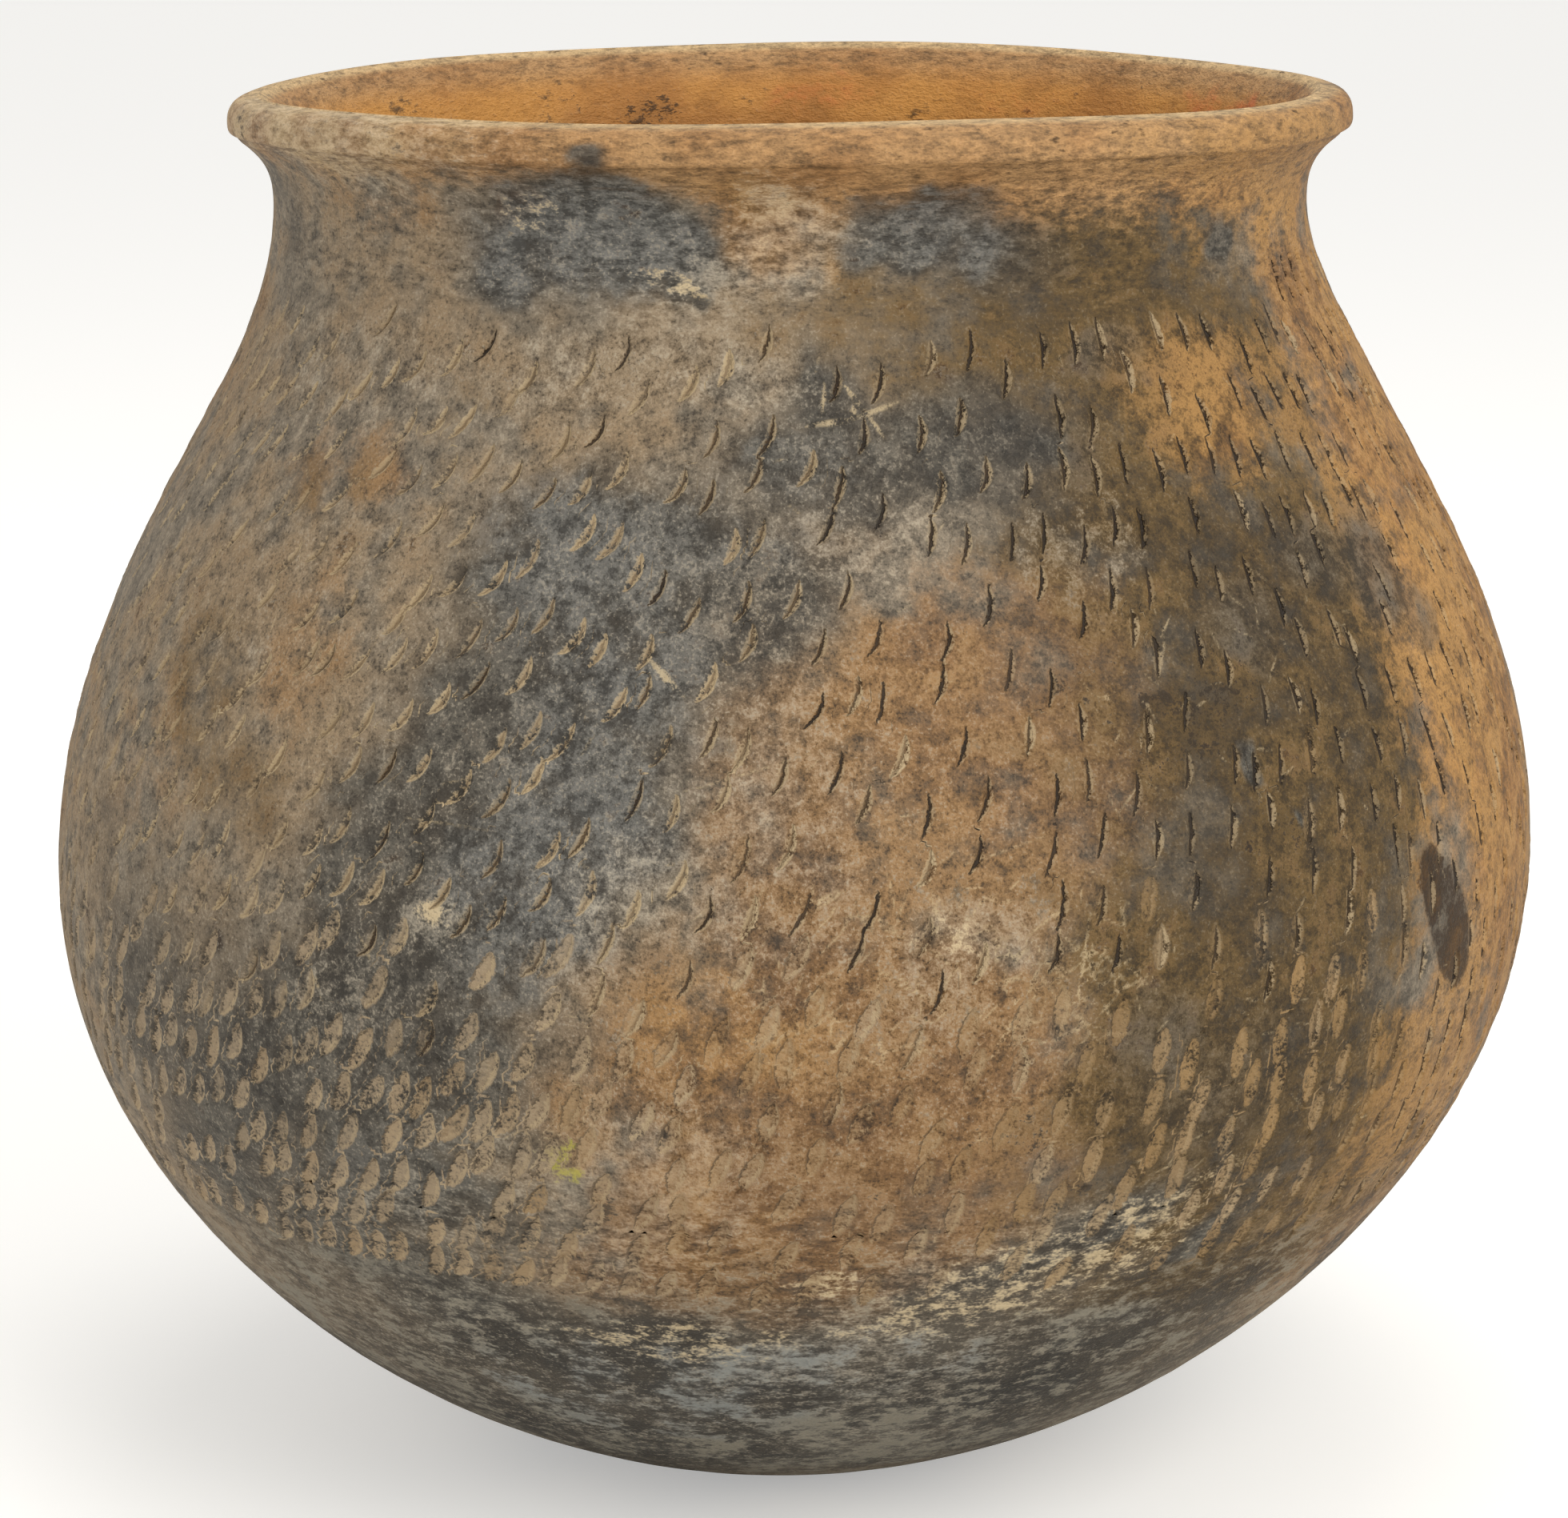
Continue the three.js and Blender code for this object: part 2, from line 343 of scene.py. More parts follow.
class Lattice:
    """Smooth random numbers in space: random values on a cubic lattice, blended between its points."""

    SIDE = 48

    def __init__(self, seed: int) -> None:
        """Fills the lattice with numbers from -1 to 1."""
        self.values = np.random.default_rng(seed).uniform(-1.0, 1.0, (self.SIDE,) * 3)

    def at(self, points: Array, size: float) -> Array:
        """One layer of noise whose lumps are about size across.

        Each value is the sum, over the eight lattice points round p / size, of that point's number times
        its share, where the share along each axis is 3t^2 - 2t^3 of the way between.

        Args:
            points: Places, with x, y and z last.
            size: The spacing of the lattice, in the same unit.

        Returns:
            Numbers from -1 to 1, one for each place.
        """
        scaled = points / size
        corner = np.floor(scaled).astype(np.int64)
        share = scaled - corner
        share = share * share * (3.0 - 2.0 * share)
        total = np.zeros(points.shape[:-1])
        for step in np.ndindex(2, 2, 2):
            index = (corner + step) % self.SIDE
            weight = np.prod(np.where(np.array(step) == 1, share, 1.0 - share), axis=-1)
            total += self.values[index[..., 0], index[..., 1], index[..., 2]] * weight
        return total

    def layers(self, points: Array, size: float, count: int, keep: float = 0.5) -> Array:
        """Layers of noise, each half the size of the one before it, divided by the sum of their strengths.

        Args:
            points: Places, with x, y and z last.
            size: The spacing of the first layer.
            count: How many layers.
            keep: How strong each layer is beside the one before.

        Returns:
            Numbers from -1 to 1, one for each place.
        """
        total = np.zeros(points.shape[:-1])
        strength, whole = 1.0, 0.0
        for layer in range(count):
            total += strength * self.at(points + 17.3 * layer, size / 2**layer)
            whole += strength
            strength *= keep
        return total / whole


class Stain(Enum):
    """What a patch on the clay is; the value is the name of the mesh attribute that holds it."""

    FIRE = "fire"
    OLIVE = "olive"
    WARM = "warm"
    TAN = "tan"
    # Bluish grey fire colouring, and on the front left of the body a painted sheen.
    BLUE = "blue"
    ASH = "ash"
    CREAM = "cream"
    SOOT = "soot"
    RED = "red"
    LICHEN = "lichen"


@dataclass(frozen=True)
class Blotch:
    """One soft-edged patch on the outside of the jar: where it lies, its half sizes and how strong it is."""

    bearing: float
    height: float
    half_width: float
    half_height: float
    strength: float = 1.0
    tilt: float = 0.0


def blotches(*rows: tuple[float, ...]) -> tuple[Blotch, ...]:
    """Blotches from rows of bearing, height, half width, half height, strength and perhaps tilt."""
    return tuple(Blotch(*row) for row in rows)


BLOTCHES: dict[Stain, tuple[Blotch, ...]] = {
    Stain.FIRE: blotches(
        (-24, 152, 80, 26, 0.6, 47), (-22, 255, 25, 12, 0.95), (13, 257, 15, 7, 0.7),
        (-16, 200, 28, 15, 0.65), (-22, 176, 24, 22, 0.6), (-29, 140, 20, 20, 0.5),
        (-41, 107, 10, 15, 0.6), (8, 222, 26, 9, 0.5), (-8, 36, 130, 36, 0.65), (-44, 98, 44, 34, 0.5),
        (14, 218, 26, 13, 0.5), (-18.5, 272, 4.5, 2.5, 0.9), (-20, 266, 7, 4, 0.8),
        (-20, 258.5, 15, 7, 0.95), (-13, 251, 12, 6.5, 1), (-27, 250, 10, 5, 0.85),
        (-31, 247, 8, 4, 0.7), (-10.5, 243.5, 5, 2.6, 0.8), (11, 258, 8, 3.5, 0.75),
        (9.5, 252, 6, 4, 0.9), (15, 262, 9, 2.6, 0.5), (20, 252, 16, 6, 0.4), (49.8, 252, 4.5, 4, 1),
        (-66, 256, 10, 7, 0.4), (-64.5, 245, 10, 8, 0.4), (-74, 263, 8, 5, 0.6), (2, 231.9, 6, 6, 0.9),
        (3, 225, 9, 6, 0.5), (-3, 218.5, 9, 6.5, 0.9), (5, 214, 9, 5.5, 0.6), (12, 217, 10, 5.5, 1),
        (15.5, 214, 7, 4, 0.7), (21, 221.8, 9, 5, 1), (17, 227, 14, 7, 0.45), (31, 234, 9, 5, 0.3),
        (-13.5, 205, 15, 8.5, 0.85), (-5, 198, 16, 8.5, 1), (-20, 202, 13, 8, 0.85),
        (-26, 197, 9, 7, 0.4), (-12, 193, 14, 8, 0.8), (-18.5, 183, 14, 10, 0.95),
        (-24.5, 174, 13, 10, 0.85), (-16, 171, 13, 9, 0.65), (-21, 163, 15, 9, 0.65),
        (-29.5, 159, 14, 10, 0.75), (-25, 150, 13, 9, 0.6), (-12, 158, 10, 9, 0.55),
        (-32.5, 143, 12, 10, 0.8), (-17, 146, 11, 10, 0.5), (-22, 135, 13, 9, 0.75),
        (-30, 128, 15, 10, 0.95), (-33, 118, 16, 10, 1), (-24, 115, 14, 9, 0.9),
        (-40, 107, 15, 11, 0.9), (-30, 101, 17, 10, 1), (-20, 103, 10, 8, 0.6), (-46, 97, 15, 9, 0.8),
        (-31, 89, 17, 8, 0.95), (-22, 85, 13, 7, 0.75), (-16, 123, 8, 7, 0.45), (-56, 112, 20, 16, 0.6),
        (-60, 138, 24, 18, 0.3), (55, 192, 10, 10, 0.65), (36, 188, 10, 6, 0.45), (46, 197, 9, 6, 0.5),
        (60, 183, 6, 8, 0.5), (25, 122, 9, 9, 0.25), (30, 106, 20, 18, 0.3), (34, 167, 2.4, 3.2, 1),
        (38, 157, 1.6, 2.2, 1), (-28, 66, 18, 9, 0.75), (-19, 56, 24, 9, 0.8), (-7, 50, 28, 8, 0.85),
        (5.5, 41, 32, 9, 0.9), (17, 43, 28, 8, 0.8), (-20, 28, 34, 10, 0.9), (8, 25, 40, 10, 0.8),
        (26.5, 54, 20, 7, 0.55), (-10, 61, 14, 5, 0.4), (16, 73, 14, 3.5, 0.7, 12),
        (24, 82, 16, 3.5, 0.8, 18), (33, 76, 14, 4, 0.75, 20), (-36, 76, 16, 9, 0.8),
        (-48, 82, 16, 9, 0.6),
    ),
    Stain.OLIVE: blotches(
        (36, 158, 46, 95, 0.75), (26, 238, 50, 24, 0.6), (36, 258, 34, 9, 0.6), (42, 186, 30, 22, 0.5),
        (34, 110, 30, 20, 0.4), (32, 82, 46, 30, 0.55), (27, 208, 13, 8, 0.65), (34.5, 201, 15, 9, 0.9),
        (45, 197, 15, 10, 0.95), (55, 191, 13, 11, 1), (44, 186, 16, 9, 0.95), (33, 192, 14, 8, 0.85),
        (22, 207, 11, 7, 0.5), (39, 178, 16, 9, 0.8), (48, 174, 14, 11, 0.8), (34, 168, 13, 10, 0.75),
        (28, 174, 10, 7, 0.6), (40, 156, 17, 12, 0.85), (50, 158, 13, 12, 0.75),
        (30, 155, 11, 10, 0.45), (33, 140, 14, 11, 0.85), (43, 138, 13, 12, 0.75),
        (26, 128, 12, 11, 0.85), (22, 141, 10, 8, 0.5), (29, 112, 15, 11, 0.95), (38, 118, 13, 12, 0.8),
        (23, 106, 11, 9, 0.85), (33, 106, 26, 24, 0.95), (45, 104, 12, 14, 0.6), (42, 64, 26, 12, 0.6),
        (30, 66, 20, 6, 0.6, 14), (54, 78, 18, 10, 0.6), (28, 40, 34, 14, 0.6), (30, 240, 18, 7, 0.55),
        (24, 250, 22, 7, 0.45), (40, 246, 14, 6, 0.4), (52, 236, 9, 8, 0.55), (54, 224, 7, 9, 0.5),
        (58, 206, 10, 5, 0.4), (-53, 173, 15, 14, 0.45), (-47.5, 211, 13, 9, 0.4),
        (-45, 155, 14, 12, 0.35), (-33, 222, 12, 8, 0.25),
    ),
    Stain.WARM: blotches(
        (10, 165, 36, 46, 0.4), (1, 112, 44, 34, 0.7), (-2, 77, 36, 13, 0.85), (56, 80, 40, 34, 0.7),
        (2, 123, 17, 13, 0.8), (-8, 118, 12, 10, 0.6), (4, 103, 18, 11, 0.95), (-6, 93, 15, 9, 0.85),
        (-12, 88, 12, 6, 0.55), (11, 130, 14, 9, 0.7), (13, 113, 11, 9, 0.5), (13.5, 184, 18, 14, 0.55),
        (-3, 168, 14, 30, 0.5), (14, 104, 20, 30, 0.45), (-46, 214, 16, 9, 0.4), (-38, 211, 6, 4, 0.5),
        (-42, 180, 8, 14, 0.4), (22, 194, 10, 6, 0.6), (22, 178, 13, 12, 0.6), (9, 188, 11, 7, 0.55),
        (23, 163, 13, 10, 0.6), (17, 153, 14, 11, 0.5), (5, 170, 11, 11, 0.35), (13, 167, 14, 10, 0.65),
        (8, 178, 14, 8, 0.5), (-1, 139, 11, 8, 0.55), (3, 153, 11, 10, 0.35), (40, 227, 16, 12, 1),
        (54, 218, 8, 6, 0.5), (64, 214, 14, 9, 0.9), (68, 238, 20, 12, 0.9), (78, 195, 20, 18, 1),
        (73, 166, 20, 20, 1), (70, 142, 18, 16, 1), (64, 124, 13, 12, 0.8), (74, 112, 20, 16, 0.8),
        (62, 100, 12, 8, 0.5), (86, 218, 22, 22, 0.9), (34, 262, 26, 6, 0.5), (56, 262, 18, 7, 0.7),
        (-1, 262, 12, 5, 0.7), (-29.3, 261.2, 4, 2.4, 1), (-45, 262, 16, 5, 0.4),
        (-58, 158, 16, 14, 0.25),
    ),
    Stain.TAN: blotches(
        (68, 162, 36, 66, 0.95), (78, 222, 40, 40, 0.65), (62, 262, 36, 12, 0.7),
        # The patch at bearing -9 and height 92 is partly pale tan clay and partly a painted sheen.
        (41, 226, 18, 13, 0.55), (51, 108, 12, 28, 0.3), (60, 88, 30, 26, 0.35), (-9, 92, 15, 15, 0.75),
        (-4, 124, 18, 12, 0.4), (-1, 256, 11, 9, 0.85), (60, 272, 50, 10, 0.6), (14, 186, 18, 12, 0.2),
        (-2, 262, 14, 6, 0.5),
    ),
    # Real bluish fire colouring low down and on the lip; the patches on the front left of the body, from
    # about height 130 to 215, are a painted sheen.
    Stain.BLUE: blotches(
        (-14, 172, 18, 18, 0.6), (-17, 150, 20, 16, 0.85), (-22, 205, 16, 10, 0.5),
        (-21, 130, 12, 10, 0.4), (-22, 255, 26, 13, 0.9), (13, 256, 14, 8, 0.6),
        (-16, 196, 22, 16, 0.5), (-12, 45, 34, 14, 0.6), (4, 55, 26, 9, 0.6), (-3, 215, 20, 12, 0.4),
        (-30, 90, 22, 12, 0.35),
    ),
    Stain.ASH: blotches(
        # The first patch, low in front at bearing -10 and height 94, is partly pale ash and partly a painted
        # sheen.
        (-10, 94, 18, 18, 0.9), (-62, 273, 60, 8, 1), (-8, 44, 90, 24, 0.45), (-11, 149, 14, 9, 0.6),
        (-2, 150, 16, 20, 0.5), (-1, 176, 15, 16, 0.45), (-10, 236, 20, 7, 0.7), (-24, 232, 16, 8, 0.5),
        (2, 206, 14, 6, 0.5), (0, 256, 11, 9, 1), (-48, 232, 26, 10, 0.4), (-5, 247, 12, 5, 0.8),
        (9, 129, 10, 7, 0.6), (10, 138, 11, 7, 0.7), (13, 143, 11, 6, 0.7), (-24, 168, 9, 5, 0.3),
        (-25, 141, 7, 5, 0.9), (-34, 126, 10, 8, 0.5), (-14, 137, 10, 8, 0.6), (-20, 98, 12, 8, 0.6),
        (-28, 84, 14, 7, 0.6), (16, 74, 34, 12, 0.6, 16), (5, 58, 24, 6, 0.6), (14, 52, 24, 5, 0.5),
        (-48, 190, 20, 14, 0.3), (24, 202, 12, 8, 0.4),
    ),
    Stain.CREAM: blotches(
        (-1, 256, 10, 7, 0.12), (-14, 246.3, 8, 1.4, 0.55, -10), (-10, 244, 5, 1.2, 0.5, -10),
        (-27.5, 258.5, 6, 3, 0.3, -20), (20, 73, 30, 9, 0.4, 16), (30, 86, 12, 2.4, 0.5, 20),
        (12, 65, 18, 2, 0.6, 12), (24, 76, 14, 2, 0.5, 20), (-10, 58, 22, 4, 0.45, -4),
        (-1, 61, 3, 1.8, 1), (-7.5, 62, 5, 1.6, 0.8), (3, 73, 8, 1.6, 0.6), (-25, 141.5, 3.4, 2.6, 1),
        (10.5, 140, 8, 4, 0.4),
    ),
    Stain.SOOT: blotches(
        (25.5, 178.5, 6, 3.6, 0.9), (30, 174, 8, 5, 0.7), (27, 169, 8, 5, 0.5), (33, 180, 7, 4, 0.55),
        (21, 184, 5, 3, 0.4), (36, 150, 9, 9, 0.45), (14, 101, 9, 6, 0.45), (19, 92, 10, 4, 0.6),
        (6, 95, 6, 3, 0.4), (-14, 90, 5, 3, 0.9), (-9.5, 243, 3, 1.6, 1),
    ),
    Stain.LICHEN: blotches(
        (-16.2, 101, 3.6, 3.8, 0.8), (-15, 97, 2, 1.8, 0.7),
    ),
}
DARK_LOZENGE = Blotch(54.6, 128.5, 6.2, 14.5, 1.0, tilt=28)
INSIDE: dict[Stain, tuple[Blotch, ...]] = {
    Stain.RED: blotches(
        (107, 265, 8, 5, 1, 20), (118, 268, 10, 5, 0.6), (179, 263, 10, 5, 0.5), (172, 268, 12, 6, 0.4),
        (150, 266, 16, 8, 0.3),
    ),
    Stain.FIRE: blotches(
        (-160, 256, 60, 7, 0.3),
    ),
    Stain.SOOT: blotches(
        (-162, 265, 6, 4.5, 1), (-158, 259, 6, 3, 0.7), (-152, 265, 3, 2, 0.4),
    ),
}


@dataclass(frozen=True)
class Scratch:
    """One pale scratch between two places, each a bearing and a height."""

    start: tuple[float, float]
    end: tuple[float, float]
    width: float = 0.35


SCRATCHES: tuple[Scratch, ...] = (
    Scratch((3.1, 234.3), (5.8, 227.2), 0.45),
    Scratch((5.8, 227.2), (7.3, 222.8), 0.4),
    Scratch((0.1, 225.0), (4.5, 226.1), 0.5),
    Scratch((4.5, 226.1), (8.9, 228.9), 0.5),
    Scratch((2.2, 232.2), (1.8, 227.2), 0.4),
    Scratch((4.9, 229.0), (4.4, 226.0), 0.5),
    Scratch((-12.2, 187.5), (-8.9, 180.8), 0.75),
    Scratch((-29.0, 157.5), (-22.5, 157.0), 0.12),
    Scratch((-9.0, 165.0), (0.5, 172.0), 0.12),
    Scratch((4.0, 160.0), (10.0, 163.0), 0.12),
    Scratch((11.0, 153.0), (17.0, 157.0), 0.12),
    Scratch((-36.0, 131.0), (-34.5, 122.0), 0.3),
    Scratch((-32.0, 137.0), (-30.0, 130.0), 0.3),
    Scratch((20.0, 143.0), (19.0, 126.0), 0.3),
)


@dataclass(frozen=True)
class ScratchNet:
    """A patch of crossing scratches: how many, between which bearings and heights, how long and how wide."""

    count: int
    bearings: tuple[float, float]
    heights: tuple[float, float]
    length: float
    width: float

    WALL_RADIUS = 140.0

    def draw(self, random: np.random.Generator) -> list[Scratch]:
        """Scratches in every direction.

        Args:
            random: Makes each scratch differ.

        Returns:
            The scratches.
        """
        scratches = []
        for _ in range(self.count):
            turn, height = random.uniform(*self.bearings), random.uniform(*self.heights)
            angle = random.uniform(0.0, np.pi)
            half = self.length * random.uniform(0.4, 1.0) / 2
            step = float(np.degrees(half * np.cos(angle) / self.WALL_RADIUS)), float(half * np.sin(angle))
            start, end = (turn - step[0], height - step[1]), (turn + step[0], height + step[1])
            scratches.append(Scratch(start, end, self.width * random.uniform(0.6, 1.2)))
        return scratches


SCRATCH_NETS: tuple[ScratchNet, ...] = (
    ScratchNet(60, (7.0, 24.0), (124.0, 148.0), 6.0, 0.16),
    ScratchNet(130, (-4.0, 23.0), (117.0, 150.0), 8.0, 0.2),
    ScratchNet(60, (22.0, 48.0), (90.0, 200.0), 6.0, 0.14),
    ScratchNet(220, (-180.0, 180.0), (70.0, 245.0), 5.0, 0.1),
)


@dataclass(frozen=True)
class Mark:
    """One fingernail mark pressed into the wet wall.

    Scoop is 0 for the cut of a nail's edge and 1 for a leaf-shaped scoop. Slit shade is how much painted
    shade darkens its slit and bed, and bright how pale its edge has worn, which is partly a painted
    highlight.
    """

    bearing: float
    along: float
    half_length: float
    lean: float
    depth: float
    scoop: float
    bow: float
    open: float
    bright: float


@dataclass
class MarkField:
    """The rows of nail marks that cover the body between the base and the neck.

    The solids carry two level rows of deep marks on each coil. The rest fill the gaps between those, in
    rows that climb or fall with the potter's reach. Low on the body the finger slid as it pressed.
    """

    outline: Outline
    row_gap: float = 9.8
    crowding: float = 1.25
    bottom_height: float = 73.0
    top_height: float = 240.0
    faces: int = 48
    faces_per_mark: int = 2
    rows_per_coil: int = 2
    bare_rows: int = 1
    stray: float = 0.9
    lean: float = 6.0
    lean_swing: float = 24.0
    lean_turn: float = -55.0
    lean_spread: float = 5.0
    right_crowding: float = 0.35
    low_crowding: float = 0.86
    missed: float = 0.05
    apart_across: float = 4.2
    apart_up: float = 6.4
    marks: list[Mark] = field(default_factory=list)

    DRIFT_TURNS = (-180, -60, -35, -10, 10, 40, 180)
    DRIFTS = (19.4, 0.0, 12.0, 32.0, 42.0, 42.0, 19.4)
    GAP_TURNS = (-180, -60, -20, -5, 5, 22, 38, 70, 180)
    GAPS = (9.0, 7.8, 7.2, 9.0, 12.0, 9.8, 9.0, 9.0, 9.0)
    LONG_SLITS = (61.5, 64.2, 66.6, 69.4)

    def lean_at(self, bearing: float) -> float:
        """How far, in degrees, the top of a mark leans to the right."""
        return self.lean + self.lean_swing * float(np.cos(np.radians(bearing - self.lean_turn)))

    def press(self, random: np.random.Generator) -> None:
        """Presses the deep marks, then fills in round them.

        Args:
            random: Makes each mark differ.
        """
        self._press_deep(random)
        deep = len(self.marks)
        # Long slits high on the right, with the most painted shade in them.
        for bearing in self.LONG_SLITS:
            along = self.outline.along_at(244.0)
            self.marks.append(Mark(bearing, along, 4.5, 3.0, 1.0, 0.0, 0.2, 1.0, 0.3))
        self._fill_in(random)
        log.info("%d deep nail marks and %d more", deep, len(self.marks) - deep)

    @staticmethod
    def _chance(row: int, mark: int, kind: int) -> float:
        """A number from -1 to 1 that differs from mark to mark, the same as in the CAD model."""
        return float(np.sin(12.9 * row + 78.2 * mark + 37.7 * kind))

    def _press_deep(self, random: np.random.Generator) -> None:
        """The marks that the solids carry, in level rows on every wall coil.

        Args:
            random: Makes each mark differ.
        """
        joints = self.outline.joints[:-1]
        rows = self.rows_per_coil * (len(joints) - 1) - self.bare_rows
        face_angle = FULL_TURN / self.faces
        for row in range(rows):
            coil, level = divmod(row, self.rows_per_coil)
            share = (level + 0.5) / self.rows_per_coil
            along = joints[coil] + (joints[coil + 1] - joints[coil]) * share
            for number in range(self.faces // self.faces_per_mark):
                face = number * self.faces_per_mark + row % self.faces_per_mark
                bearing = (face + 0.5) * face_angle + self.stray * self._chance(row, number, 0)
                bearing = (bearing + 180.0) % FULL_TURN - 180.0
                lean = self.lean_at(bearing) + self.lean_spread * self._chance(row, number, 1)
                self.marks.append(self._mark(bearing, along, lean, random.uniform(0.75, 0.95), random))

    def _fill_in(self, random: np.random.Generator) -> None:
        """Rows of marks between the deep ones, leaving out those that would touch a neighbour.

        A row that is a share s of the way up goes to s^crowding, so the rows crowd together low down.

        Args:
            random: Makes each mark differ.
        """
        low = self.outline.along_at(self.bottom_height)
        high = self.outline.along_at(self.top_height)
        radii = self.outline.outside.at(np.array([mark.along for mark in self.marks]))[:, 0]
        taken = [(float(np.radians(m.bearing) * r), m.along) for m, r in zip(self.marks, radii)]
        for row in np.arange(low - max(self.DRIFTS), high, self.row_gap):
            bearing = -180.0 + random.uniform(0.0, 4.0)
            while bearing < 180.0:
                drift = float(np.interp(bearing, self.DRIFT_TURNS, self.DRIFTS))
                share = max(row + drift - low, 0.0) / (high - low)
                along = low + (high - low) * share**self.crowding + random.normal(0.0, 0.9)
                radius = float(self.outline.outside.at(np.array([along]))[0, 0])
                crowd = smooth(np.array(along), high - 70.0, high - 35.0)
                crowd = float(crowd * smooth(np.array(bearing), 0.0, 16.0))
                gap = float(np.interp(bearing, self.GAP_TURNS, self.GAPS))
                gap *= 1.0 - self.right_crowding * crowd
                low_left = along < low + 50.0 and bearing < -12.0
                gap *= random.uniform(0.84, 1.16) * (self.low_crowding if low_left else 1.0)
                bearing += np.degrees(gap / max(radius, 60.0))
                bottom = low - 3.0 * np.cos(np.radians(bearing)) + random.normal(0.0, 1.6)
                top = high + 2.0 + random.normal(0.0, 2.0) + 3.0 * np.sin(np.radians(bearing - 20.0))
                if not bottom < along < top or random.random() < self.missed:
                    continue
                spot = (np.radians(bearing) * radius, along)
                close = np.abs(np.array(taken) - spot)
                if np.any((close[:, 0] < self.apart_across) & (close[:, 1] < self.apart_up)):
                    continue
                taken.append(spot)
                lean = self.lean_at(bearing) + random.normal(0.0, 4.0)
                self.marks.append(self._mark(bearing, along, lean, random.uniform(0.5, 0.95), random))

    def _mark(
        self, bearing: float, along: float, lean: float, depth: float, random: np.random.Generator
    ) -> Mark:
        """One mark, with the form of its part of the body.

        Args:
            bearing: Where it lies round the jar.
            along: Where it lies along the outline.
            lean: How far its top leans to the right, in degrees.
            depth: How deep it is.
            random: Makes each mark differ.

        Returns:
            The mark.
        """
        height = float(self.outline.outside.at(np.array([along]))[0, 1])
        low_down = float(smooth(np.array(height + random.normal(0.0, 10.0)), 148.0, 112.0))
        scoop = low_down * float(smooth(np.array(abs(bearing - 85.0)), 25.0, 45.0))
        on_right = float(np.cos(np.radians(bearing - 65.0)))
        return Mark(
            bearing=bearing,
            along=along,
            half_length=random.uniform(3.6, 4.5) * (1.0 + 0.16 * scoop),
            lean=lean,
            depth=depth,
            scoop=scoop,
            bow=random.uniform(0.8, 1.5) * (1.0 - 0.5 * max(on_right, 0.0)),
            # Marks towards the right of the jar get more painted shade in their slits.
            open=float(np.clip(0.15 + 0.85 * on_right + random.normal(0.0, 0.24), 0.0, 1.0)),
            bright=random.uniform(0.45, 1.0),
        )


STAINS = tuple(stain.value for stain in Stain)
PLACES = ("lozenge", "scratch", "zone", "inner", "crest", "crease", "wiped", "low", "strokes")
MARK_ATTRIBUTES = ("mark_u", "mark_v", "mark_on", "mark_scoop", "mark_slit_shade", "mark_bright")
ATTRIBUTES = (*STAINS, *PLACES, *MARK_ATTRIBUTES)
TURNED = "turned"


@dataclass
class Fields:
    """What is known at every point of a grid on the outside of the jar."""

    lift: Array
    masks: dict[str, Array]


